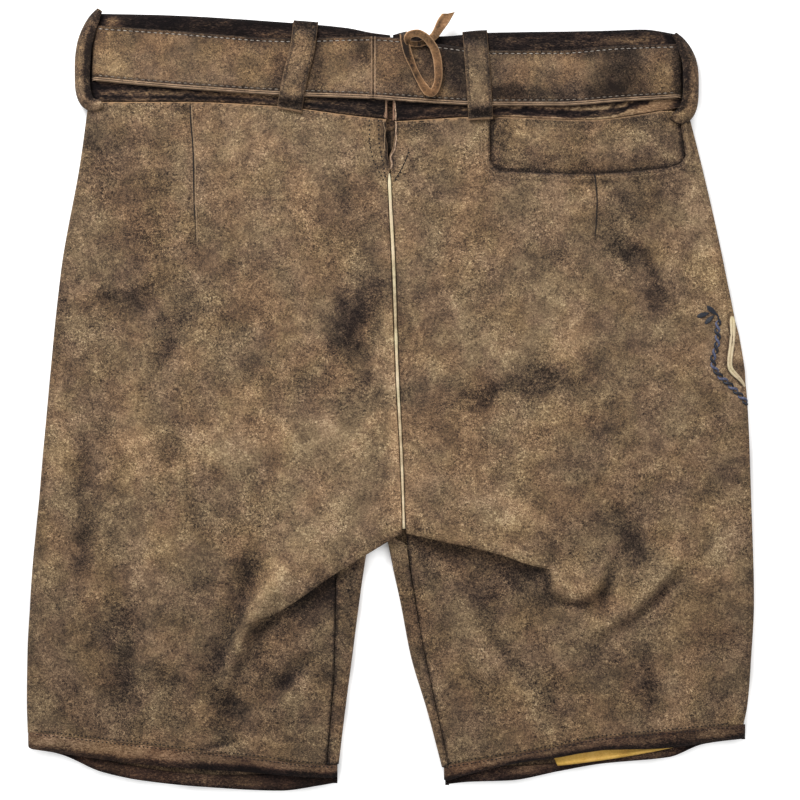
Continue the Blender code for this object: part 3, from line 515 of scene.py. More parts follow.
def panel(
    name, points, wall, finish, outward, tone, raw=0.0, cut=None, held="laid"
):
    # A leather wall: a grid laid on the points of its outer face and thickened inwards
    mesh, row, column = layGrid(name, points, outward, cut)
    for mark, values in (("tone", tone), ("raw", raw)):
        setMark(mesh, mark, np.broadcast_to(values, points.shape[:2])[row, column])
    made = joinScene(name, mesh, finish)
    thick = made.modifiers.new("Wall", "SOLIDIFY")
    thick.thickness = wall * mm
    thick.offset = -1
    thick.use_even_offset = True
    thick.thickness_clamp = 0
    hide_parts(name)
    if held:  # the cut of what shows, measured along the piece
        area = float(valuesOf(mesh.polygons, "area").sum())
        runs = points[(len(points) - 1) // 2], points[:, (points.shape[1] - 1) // 2]
        flat = [max(lengthOf(run) * mm, leastSide) for run in runs]
        whole = max(area / (flat[0] * flat[1]), 1.0) ** 0.5
        flat = [side * whole for side in flat]
    return made


def alongPath(path, count):
    path = np.asarray(path, float)
    index = np.arange(len(path))
    fine = np.linspace(0, len(path) - 1, 60 * len(path))
    dense = np.stack([curve(index, path[:, k], fine) for k in range(path.shape[1])], axis=1)
    length = np.concatenate([[0], np.cumsum(np.linalg.norm(np.diff(dense, axis=0), axis=1))])
    at = np.linspace(0, length[-1], count)
    return np.stack([np.interp(at, length, dense[:, k]) for k in range(path.shape[1])], axis=1)


def lengthOf(path):
    return float(np.linalg.norm(np.diff(np.asarray(path, float), axis=0), axis=1).sum())


def topFinder(*pieces):
    # Height and slope of the pieces' upper face at a point, in millimetres
    trees = []
    for piece in pieces:
        corners = [v.co / mm for v in piece.data.vertices]
        faces = [tuple(p.vertices) for p in piece.data.polygons]
        trees.append(BVHTree.FromPolygons(corners, faces))

    def find(x, y, start=60.0):
        hits = [tree.ray_cast(Vector((x, y, start)), Vector(downward)) for tree in trees]
        hits = [(hit[0].z, hit[1]) for hit in hits if hit[0]]
        if not hits:
            return None
        z, normal = max(hits, key=lambda hit: hit[0])
        return z, normal if normal.z > 0 else -normal

    return find


def stitches(name, paths, look, finish, find):
    # A row of short threads along each path, laid on what lies under it
    pitch, length, width, height, lift = look
    bm = bmesh.new()
    for path in paths:
        points = alongPath(path, max(2, round(lengthOf(path) / pitch) + 1))
        for start, end in zip(points[:-1], points[1:]):
            x, y = (start + end)[:2] / 2
            found = find(x, y)
            if not found:
                continue
            z, normal = found
            ahead = Vector((*(end - start)[:2], 0)).normalized()
            ahead = (ahead - normal * ahead.dot(normal)).normalized()
            side = normal.cross(ahead)
            centre = Vector((x, y, z)) + normal * lift
            turn = np.column_stack([ahead * length / 2, side * width / 2, normal * height])
            made = bmesh.ops.create_uvsphere(bm, u_segments=6, v_segments=4, radius=1.0)["verts"]
            for v in made:
                v.co = (Vector(turn @ np.array(v.co)) + centre) * mm
    bmesh.ops.recalc_face_normals(bm, faces=bm.faces[:])
    mesh = meshOf(name, bm)
    mesh.shade_smooth()
    return joinScene(name, mesh, finish)


def strand(name, routes, radius, finish, sides=8):
    # Round cords through lists of points, one closed tube each
    bm = bmesh.new()
    for route in routes:
        route = np.asarray(route, float)
        ahead = headings(route)
        side = np.cross(ahead, upward)
        side /= np.maximum(np.linalg.norm(side, axis=1), 1e-6)[:, None]
        lift = np.cross(side, ahead)
        last = len(route) - 1
        made = bmesh.ops.create_grid(bm, x_segments=sides, y_segments=last, size=0.5)["verts"]
        for v in made:
            turn = 2 * math.pi * (round((v.co.x + 0.5) * sides) % sides) / sides
            k = round((v.co.y + 0.5) * last)
            reach = side[k] * math.cos(turn) + lift[k] * math.sin(turn)
            v.co = (route[k] + reach * np.broadcast_to(radius, len(route))[k]) * mm
    bmesh.ops.remove_doubles(bm, verts=bm.verts[:], dist=1e-6)
    bmesh.ops.holes_fill(bm, edges=bm.edges[:], sides=sides)
    bmesh.ops.recalc_face_normals(bm, faces=bm.faces[:])
    mesh = meshOf(name, bm)
    for mark, level in (("tone", 0.5), ("raw", 0.0)):
        setMark(mesh, mark, np.full(len(mesh.vertices), level))
    mesh.shade_smooth()
    made = joinScene(name, mesh, finish)
    return made


# Edges of the back waistband, from the left side to the right side of the view
waistbandLeft = table(
    "x bottom top",
    (-221, 225, 290),
    (-172, 224, 289),
    (-86, 221, 284),
    (-34, 214.5, 279.5),
    (-12, 212, 275.2),
    (-4, 211, 273.8),
)
waistbandRight = table(
    "x bottom top",
    (4, 209.5, 274),
    (13, 209.8, 276.5),
    (22, 210, 273),
    (38, 210.5, 273),
    (70, 213, 275.5),
    (158, 210.5, 277),
    (190, 216, 278),
    (215, 221.5, 274.5),
)

# Sections of the back panels, waist to hem: points at the centre seam, down the line of the
# inseam, twice across the panel, and at the side. `down` is the distance from the waist.
backLeft = table(
    "down seamX seamY inseamX inseamY midX midY flankX flankY sideX sideY",
    (0, -3.2, 210.5, -34, 214, -86, 220.5, -154, 223.5, -226.5, 223.5),
    (47, -2.4, 171, -35, 171, -88.5, 174, -155, 175.5, -233.2, 176),
    (120, 0.7, 103.5, -34, 102, -90, 100.5, -159, 99, -247, 99),
    (221, 3.7, 21, -33, 11, -96, 0, -169, -6, -257.7, -6),
    (305, 7.2, -46.5, -34.5, -66, -101, -84, -176, -94, -265.5, -96),
    (385, 8.8, -98.5, -40.5, -129, -94, -163, -180, -187, -272.5, -189),
    (439, 8.8, -150, -41.6, -191, -101, -217.5, -180, -229, -273, -225),
    (490, 8.8, -190, -47.6, -274.5, -105, -268.5, -180, -260, -272.3, -250),
)
backRight = table(
    "down seamX seamY inseamX inseamY midX midY flankX flankY sideX sideY",
    (0, 3.4, 209, 75, 212.5, 148, 210, 216, 219.5, 223.2, 219),
    (42, 1.4, 171, 75, 171.5, 148, 169.5, 222, 175.5, 234.5, 175),
    (120, 4.6, 103.5, 76.5, 100.5, 150, 99, 217.5, 99, 250.5, 103.5),
    (221, 7.2, 21, 79.5, 6, 152, 1, 217.5, 0, 268.5, -2),
    (305, 10.4, -46.5, 84, -64.5, 155, -72, 219, -76, 271.5, -75),
    (385, 12.2, -99, 82.5, -115, 112, -125, 196, -140, 273.6, -150),
    (439, 22.5, -170, 95, -190, 140, -195, 199, -195, 271.5, -193),
    (490, 44.3, -274.5, 112.5, -263, 155, -254.5, 202, -250, 265.5, -244.5),
)
stripLeast = 2.0  # least width of the front's strip behind the inner leg
centreFiller = 3.0  # what keeps the front's grid open where it isn't wrapped
places = ("seam", "inseam", "mid", "flank", "side")
lipAt = 385  # the distance down at which the seat ends and the leg starts

# How high the seat stands over the leg along the lip, centre seam to side
lip = {
    "left": table("across rise", (0, 6.4), (1, 6.0), (1.9, 3.8), (2.1, 1.6), (2.3, 0), (4, 0)),
    "right": table("across rise", (0, 6.4), (1, 5.4), (1.6, 4.2), (2.05, 2.0), (2.2, 0), (4, 0)),
}
# The share of that rise at each distance down, and how far the leather is carried forward or
# tucked back under the seat there
lipFold = table(
    "down share shift",
    (290, 0, 0),
    (330, 0.35, 0),
    (360, 0.80, 0),
    (372, 0.99, 0),
    (377, 0.99, 0.2),
    (380, 0.95, 0.9),
    (381.5, 0.89, 1.5),
    (382.7, 0.80, 2.0),
    (383.6, 0.70, 2.2),
    (384.2, 0.60, 1.8),
    (384.6, 0.50, 1.0),
    (384.8, 0.42, 0),
    (385, 0.34, -1.2),
    (385.2, 0.24, -2.2),
    (385.5, 0.12, -2.8),
    (386, 0.04, -2.6),
    (386.6, 0, -1.9),
    (387.4, 0, -0.8),
    (388.6, 0, 0),
    (400, 0, 0),
)
# The leg dips just under the lip
underLip = table("down dip", (384, 0), (387, 0.5), (392, 0.9), (402, 0.5), (416, 0))

# Folds: three points of each, its half width and its height
folds = table(
    "x0 y0 x1 y1 x2 y2 width height",
    (-79, -131, -105, -159, -118, -195, 9, 2.6),
    (-96, -176, -108, -200, -115, -229, 8, -1.6),
    (-67, -195, -84, -211, -116, -241, 6, -1.2),
    (-98, -133, -123, -165, -132, -198, 12, -1.2),
    (121, -133, 139, -143, 157, -133, 13, 3.0),
    (98, -131, 124, -155, 154, -157, 7, -1.8),
    (154, -157, 160, -144, 167, -127, 6, -1.7),
    (158, -172, 188, -148, 208, -117, 9, 2.0),
    (162, -182, 197, -152, 234, -123, 9, -1.4),
    (60, -158, 75, -195, 98, -225, 12, 1.2),
    (-150, 60, -120, 10, -130, -60, 30, 1.0),
    (120, 90, 165, 30, 150, -50, 34, 1.1),
)
pocket = {"left": 75.0, "right": 221.6, "rightTop": 218.2, "top": 216.8, "corner": 11.0}
pocketLift = 0.35  # what is in the pocket raises the panel round it


def foldsAt(x, y):
    total = np.zeros(np.shape(x))
    for *corners, width, height in zip(*folds.values()):
        total += height * bell(nearPath(x, y, np.reshape(corners, (3, 2))) / width)
    return total


# Creases: three points of each, half width, height, and what they add to the tone, which is
# painted shade in the valleys and painted highlight on the ridges
creases = table(
    "x0 y0 x1 y1 x2 y2 width height tone",
    (-16, -66, -58, -104, -90, -136, 15, 1.9, 0.12),
    (-80, -127, -99, -152, -112, -180, 8, 2.3, 0.16),
    (-112, -178, -117, -198, -118, -214, 6.5, 2.0, 0.15),
    (-103, -112, -109, -148, -127, -190, 8.5, -2.0, -0.24),
    (-126, -188, -134, -210, -122, -232, 8, -1.3, -0.2),
    (-92, -168, -106, -182, -112, -204, 6, -1.8, -0.1),
    (-114, -194, -118, -214, -121, -234, 4.5, -1.7, -0.2),
    (-60, -196, -74, -208, -88, -226, 5, -1.6, -0.13),
    (-57, -202, -72, -219, -83, -230, 5.5, 1.2, 0.09),
    (-141, -262, -128, -259, -116, -255, 2.0, -1.2, -0.2),
    (-141, -265, -128, -262.5, -116, -259, 2.0, 0.7, 0.1),
    (-40, -215, -62, -232, -96, -243, 8, 0.8, 0.02),
    (-60, -235, -90, -248, -125, -250, 6, -0.7, -0.05),
    (-150, -165, -160, -190, -158, -222, 9, -1.0, -0.05),
    (-175, -170, -182, -200, -180, -235, 8, 0.9, 0.04),
    (-205, -160, -200, -200, -204, -240, 8, -0.9, -0.06),
    (-228, -30, -229, -80, -232, -130, 7, -0.9, -0.09),
    (-246, -20, -250, -80, -254, -140, 8, 0.8, 0.04),
    (14, -97, 38, -103, 68, -112, 6, 0.9, 0.06),
    (66, -108, 92, -114, 114, -124, 6, 1.0, 0.08),
    (56, -128, 84, -138, 110, -148, 7, 0.8, 0.05),
    (124, -136, 139, -143, 155, -136, 8, 1.8, 0.12),
    (88, -133, 108, -149, 126, -153, 5, -1.0, -0.16),
    (112, -127, 118, -134, 119, -146, 3, -0.9, -0.2),
    (120, -149, 135, -153.5, 153, -152.5, 2.2, -1.6, -0.26),
    (158, -155, 162, -144, 167, -129, 4, -1.8, -0.24),
    (170, -122, 178, -112, 186, -96, 8, -1.0, -0.08),
    (217, -119, 201, -136, 186, -152, 4.5, 1.9, 0.13),
    (186, -152, 172, -163, 146, -174, 5.5, 1.6, 0.09),
    (221, -125, 197, -153, 170, -174, 4.5, -2.0, -0.17),
    (256, -100, 244, -118, 230, -134, 6, 1.2, 0.08),
    (240, -104, 230, -122, 216, -140, 4, -0.8, -0.06),
    (193, -194, 194, -218, 194, -240, 3.5, -0.9, -0.1),
    (22, -97, 20, -94, 19, -89, 2.5, -1.8, -0.2),
    (27, -99, 25, -94, 24, -87, 2.5, 1.0, 0.06),
    (40, -128, 60, -172, 84, -206, 7, 1.8, 0.10),
    (84, -206, 98, -221, 112, -232, 6.5, 1.4, 0.08),
    (30, -118, 38, -150, 46, -186, 5, -0.9, -0.06),
    (60, -146, 82, -186, 108, -212, 6, -1.6, -0.16),
    (18, -125, 26, -160, 36, -205, 4, -0.8, -0.1),
    (120, -170, 128, -200, 140, -228, 8, 0.9, 0.04),
    (104, -166, 112, -186, 128, -214, 5, -0.9, -0.05),
    (-30, -10, -80, -22, -140, -30, 10, 1.0, 0.03),
    (-20, -45, -60, -52, -100, -48, 9, -0.8, -0.03),
    (-8, -70, -30, -88, -60, -108, 7, -0.8, -0.04),
    (20, -60, 60, -72, 105, -88, 8, 0.9, 0.03),
    (30, -80, 70, -92, 104, -106, 6, -0.8, -0.04),
    (140, -60, 175, -90, 190, -120, 9, -1.2, -0.06),
    (190, -30, 215, -60, 226, -90, 10, 0.9, 0.03),
    (160, 120, 190, 92, 204, 62, 9, -1.0, -0.05),
    (176, 138, 206, 104, 218, 70, 8, 0.9, 0.03),
    (228, 150, 240, 110, 246, 70, 8, 0.9, 0.05),
    (-232, 60, -236, 10, -240, -40, 9, 0.9, 0.04),
    (-196, 40, -190, -10, -192, -60, 12, 0.9, 0.04),
    (-214, 60, -210, 10, -212, -50, 8, -0.8, -0.04),
    (14, 183, 18, 176, 7, 166, 1.6, -0.9, -0.16),
    (24, 186, 30, 180, 40, 178, 2, -0.5, -0.06),
)


creaseGain = {"height": 1.3, "tone": 1.2}


def creasesAt(x, y):
    # Height and tone that the creases add, the tone painted shade and highlight; each fades
    # towards its two ends
    height, tone = np.zeros(np.shape(x)), np.zeros(np.shape(x))
    for *corners, width, rise, shade in zip(*creases.values()):
        path = alongPath(np.reshape(corners, (3, 2)), 9)
        span = np.hypot(*(path[-1] - path[0]))
        out = np.hypot(x - path[4, 0], y - path[4, 1]) / (0.5 * span + width)
        mask = bell(nearPath(x, y, path) / width) * (1 - 0.75 * np.clip(out, 0, 1) ** 3)
        height += creaseGain["height"] * rise * mask
        tone += creaseGain["tone"] * shade * mask
    return height, tone


darts = {
    "left": table("x y", (-150, 221), (-147.5, 175), (-146.2, 116)),
    "right": table("x y", (153.5, 171), (155.5, 150), (153.5, 118)),
}
dart = {
    "width": 2.4, "depth": 0.9, "tone": 0.05, "ridge": (3.2, 2.2, 0.35),
    "pucker": 0.1, "puckerPitch": 9.0, "puckerReach": 6.0,
    "dimple": 4.0, "dimpleDepth": 0.9, "dimpleTone": 0.1,
}


def backBase(x, y):
    rise = (waistTop - legTop) * ease((y - 120) / 45)
    overPocket = ease((x - 45) / 30) * ease((245 - x) / 20) * ease((y - 140) / 25)
    return legTop + rise + pocketLift * overPocket


def waistBase(x, y):
    return backBase(x, np.minimum(y, 230))


def sectionPoints(sections, down, across, inset=0.0):
    stations = np.arange(len(places))
    found = []
    for axis in "XY":
        rows = np.array([sections[f"{place}{axis}"] for place in places])
        if axis == "X":
            rows[-1] += inset * np.sign(rows[0] - rows[-1])
        atDown = np.array([curve(sections["down"], row, down) for row in rows])
        lines = [curve(stations, atDown[:, j], across) for j in range(len(down))]
        found.append(np.array(lines))
    return found


def quarterTurn(steps, rim):
    turn = np.linspace(0, math.pi / 2, steps + 1)[1:]
    return (
        np.append(np.sin(turn), 1.0),
        np.append(rim + (1 - rim) * np.cos(turn), 0.0),
    )


def rowLine(points):
    order = np.argsort(points[:, 0])
    return points[order, 0], points[order, 1]


def backPanelPoints(sections, side, down, across, rollSteps):
    x, y = sectionPoints(sections, down, across, inset=backRoll)
    share = read(lipFold, "share", down)[:, None]
    shift = read(lipFold, "shift", down)[:, None]
    rise = read(lip[side], "rise", across)[None, :]
    stepX, stepY = np.gradient(x, down, axis=0), np.gradient(y, down, axis=0)
    reach = shift * np.minimum(rise / 4, 1) / np.hypot(stepX, stepY)
    dip = read(underLip, "dip", down)[:, None] * np.minimum(rise, 1.5)
    z = backBase(x, y) + foldsAt(x, y) + creasesAt(x, y)[0] + share * rise - dip
    x, y = x + stepX * reach, y + stepY * reach
    startX = x[:, -1:]
    edgeX = startX + backRoll * np.sign(startX - x[:, :1])
    out, fall = quarterTurn(rollSteps, rollRim)
    seamZ = sideSeamHeight(edgeX, y[:, -1:]) + seamGap / 2
    rollX = startX + (edgeX - startX) * out
    rollZ = seamZ + (z[:, -1:] - seamZ) * fall
    rollY = y[:, -1:] + 0 * out
    return np.dstack([np.hstack([x, rollX]), np.hstack([y, rollY]), np.hstack([z, rollZ])])


# Sections of the front panels, waist to hem: the side, the inner edge in plan, how far the
# edge is wrapped over the inner leg (1 is a half turn) and how far the section bows down.
frontLeft = table(
    "sideX sideY innerX innerY wrap bow",
    (-226.5, 221.5, 3.5, 202, 0, 0),
    (-233.2, 176, 3, 165, 0, 0),
    (-247, 99, 2, 95, 0, 0),
    (-256.5, -6, 0, 0, 0, 0),
    (-264, -75, -2.5, -72, 0, 0),
    (-265.5, -90, -3.6, -84, 0.04, 0),
    (-267, -105, -12, -97, 0.5, 0),
    (-268.5, -120, -17, -112, 1, 0),
    (-270, -140, -20, -130, 1, 0),
    (-271.3, -165, -23.5, -155, 1, 2),
    (-272.5, -195, -28, -190, 1, 6),
    (-273, -225, -34, -236, 1, 13),
    (-272, -252, -38.5, -273.5, 1, 18),
)
frontRight = table(
    "sideX sideY innerX innerY wrap bow",
    (223.5, 217.5, 3.9, 202, 0, 0),
    (234.5, 175, 3.4, 165, 0, 0),
    (250.5, 103.5, 2.4, 95, 0, 0),
    (268.5, -2, 0.4, 0, 0, 0),
    (271.5, -75, -2.1, -72, 0, 0),
    (271.5, -90, -2.9, -84, 0.04, 0),
    (271.8, -105, -3.6, -97, 0.5, 0),
    (272, -120, -1, -110, 1, 0),
    (272.5, -140, 2.5, -128, 1, 0),
    (272.5, -165, 8, -153, 1, 1),
    (271.5, -195, 15.5, -192, 1, 3),
    (269, -228, 28, -234, 1, 6),
    (265.5, -246, 39, -276, 1, 9),
)
flap = {
    "x": 3.0, "top": 198.0, "foot": 55.0, "halfTop": 95.0, "halfFoot": 76.0,
    "corner": 20, "cornerFrom": 0.86, "rim": (0, 1.2, 0.5), "tone": 0.48, "edge": (0, 3, -0.14),
}
flapMargin = {"full": 20.0, "none": 48.0}  # the panels' lift round the flap
sidePocket = {"top": 66.0, "foot": 12.0, "reach": 30.0, "lift": 2.0, "margin": 60.0, "wall": 1.6}


def flapHalf(y):
    t = np.clip((flap["top"] - y) / (flap["top"] - flap["foot"]), 0, 1)
    return flap["halfTop"] + (flap["halfFoot"] - flap["halfTop"]) * t


def frontBase(x, y):
    beyond = np.hypot(
        np.maximum(np.abs(x - flap["x"]) - flapHalf(y), 0), np.maximum(flap["foot"] - y, 0)
    )
    full, none = flapMargin["full"], flapMargin["none"]
    onFlap = 1 - ease((beyond - full) / (none - full))
    atWaist = ease((y - 188) / 22)
    low, high = sidePocket["foot"], sidePocket["top"]
    margin = sidePocket["margin"]
    along = ease((y - low + margin) / 24) * ease((high + margin - y) / 24)
    onPocket = along * ease((x - 200) / 22)
    return np.maximum(flapLift * np.maximum(onFlap, atWaist), sidePocket["lift"] * onPocket)


def sideSeamHeight(x, y):
    return sideSeam + 0.5 * frontBase(x, y)


frontSections = {
    "left": (frontLeft, (backLeft["inseamY"], backLeft["inseamX"])),
    "right": (frontRight, (backRight["seamY"], backRight["seamX"])),
}


def frontPanelPoints(side, down, grid):
    # Rows of points from the side seam round the roll, along the table and round the inner leg
    sections, inseam = frontSections[side]
    rows = np.linspace(0, 1, len(sections["sideX"]))
    row = {name: curve(rows, column, down)[:, None] for name, column in sections.items()}
    toward = np.sign(row["innerX"] - row["sideX"])
    angle = row["wrap"] * math.pi
    strip = (row["innerX"] - curve(*inseam, row["innerY"])) * toward - frontRoll - seamGap
    strip = stripLeast + (np.maximum(strip, stripLeast) - stripLeast) * row["wrap"] ** 8
    filler = centreFiller * (1 - row["wrap"])
    reach = frontRoll * np.sin(np.minimum(angle, math.pi / 2)) + filler
    reach = reach + strip * np.maximum(np.cos(angle), 0)
    flatEnd = row["innerX"] - toward * reach
    flatStart = row["sideX"] + toward * frontRoll

    def yAt(x):
        share = (x - row["sideX"]) / (row["innerX"] - row["sideX"])
        straight = row["sideY"] + (row["innerY"] - row["sideY"]) * share
        return straight - row["bow"] * 4 * share * (1 - share)

    out, rise = (part[::-1] for part in quarterTurn(grid["roll"], rollRim))
    seamZ = sideSeamHeight(row["sideX"], row["sideY"]) - seamGap / 2
    startZ = frontBase(flatStart, yAt(flatStart))
    xRoll = row["sideX"] + toward * frontRoll * (1 - out)
    zRoll = startZ + (seamZ - startZ) * (1 - rise)
    xFlat = flatStart + (flatEnd - flatStart) * np.linspace(0, 1, grid["columns"])
    zFlat = frontBase(xFlat, yAt(xFlat))
    wrapStep, stripStep = (np.linspace(0, 1, grid[part] + 1)[1:] for part in ("wrap", "strip"))
    bend = angle * wrapStep
    xWrap = flatEnd + toward * (frontRoll * np.sin(bend) + filler * wrapStep)
    zWrap = zFlat[:, -1:] + frontRoll * (1 - np.cos(bend))
    xStrip = xWrap[:, -1:] + toward * strip * np.cos(angle) * stripStep
    zStrip = zWrap[:, -1:] + strip * np.sin(angle) * stripStep
    x = np.hstack([xRoll, xFlat, xWrap, xStrip])
    return np.dstack([x, yAt(x), np.hstack([zRoll, zFlat, zWrap, zStrip])])


# The lace comes first, at its real length: a flat thong that laces the slit. Its route runs
# down, round the loop, back up, over the top and out to its free end.

lace = {"width": 6.8, "thick": 1.9, "steps": 220, "crown": 0.35, "route": table(
    "x y z",
    (10.1, 275.5, 5.5), (10.5, 273.8, 9), (10.9, 270, 12.2), (12.9, 260.8, 13.3),
    (17, 250.1, 13.4), (21.1, 241.1, 13.7), (25.6, 233.6, 13.9), (28.2, 230.4, 14),
    (31.2, 229.6, 14), (33.8, 232.2, 13.9), (35.4, 236.6, 13.9), (36.3, 243, 13.8),
    (35.8, 251.6, 14.2), (33.8, 260.5, 15), (30.1, 266.8, 16.4), (25.2, 271.5, 17.6),
    (20.3, 273.5, 17.8), (15.4, 272.7, 17.4), (12.9, 269.6, 15.6), (14.3, 266.6, 12.9),
    (20.9, 266.2, 12.3), (27.6, 268.3, 12.7), (32.8, 272.1, 12.2), (38.1, 280.8, 9.5),
    (43.8, 290.4, 7.6),
)}
laceWidth = table(
    "share width",
    (0, 0.9), (0.06, 0.95), (0.14, 0.9), (0.2, 0.72), (0.26, 0.78), (0.31, 0.95), (0.38, 0.85),
    (0.5, 0.95), (0.62, 0.85), (0.7, 0.8), (0.76, 0.6), (0.84, 0.8), (0.9, 1.0), (0.96, 1.25),
    (1.0, 1.15),
)


# laceTone: edges and underEdge are painted highlight, turn is painted shade under the arch
laceTone = {
    "plain": 0.3, "edges": 0.28, "under": (0.3, -0.42), "underEdge": (0.28, 0.36),
    "turn": (0.8, 0.05, -0.16), "freeEnd": (0.88, 0.05, 0.12),
    "freeFurrow": (-0.35, 0.3, -0.2), "furrow": (0.45, 0.3, -0.12), "cut": (0.95, 0.55),
}


def makeLace():
    route = alongPath(rowsOf(lace["route"]), lace["steps"])
    ahead = headings(route)
    side = unit(np.cross(ahead, upward))
    for k in range(1, len(side)):  # the flat side turns without jumps
        if side[k] @ side[k - 1] < 0:
            side[k] *= -1
    side = unit(smoothed(side, 4))
    lift = np.cross(side, ahead)
    share = np.linspace(0, 1, len(route))[:, None]
    half = read(laceWidth, "width", share) * lace["width"] / 2
    across = np.linspace(-1, 1, 9)
    crown = 0.5 * lace["thick"] * (1 - lace["crown"] * np.abs(across) ** 4)
    points = route[:, None] + side[:, None] * (half * across)[..., None]
    points = points + lift[:, None] * crown[:, None]
    # the free end is cut at a slant
    slant = (3.2 * across - 0.8 * (1 - np.abs(across))) * ease((share - 0.91) / 0.09)
    points += ahead[:, None] * slant[..., None]
    look = laceTone
    freeFrom, freeRun, freeTone = look["freeEnd"]
    free, tied = ease((share - freeFrom) / freeRun), ease((freeFrom - share) / freeRun)
    tone = look["plain"] + look["edges"] * np.abs(across) ** 3 + freeTone * free
    # the first stretch is darker, partly its darker face and partly painted shade
    tone = tone + look["under"][1] * ease(1 - share / look["under"][0])
    tone = tone + bands(share, look["turn"]) + bands(across, look["freeFurrow"]) * free
    tone = tone + bands(across, look["furrow"]) * tied
    edge = ease((-across - 0.4) / 0.3) * ease(1 - share / look["underEdge"][0])
    tone = tone + look["underEdge"][1] * edge
    raw = look["cut"][1] * (np.abs(across) > look["cut"][0]) + 0 * share
    made = panel(
        "lace", points, lace["thick"], thong, upward, tone=tone, raw=raw, held=None
    )
    lengthOf(route) * mm
    print("lace", round(lengthOf(route)), "mm")


makeLace()
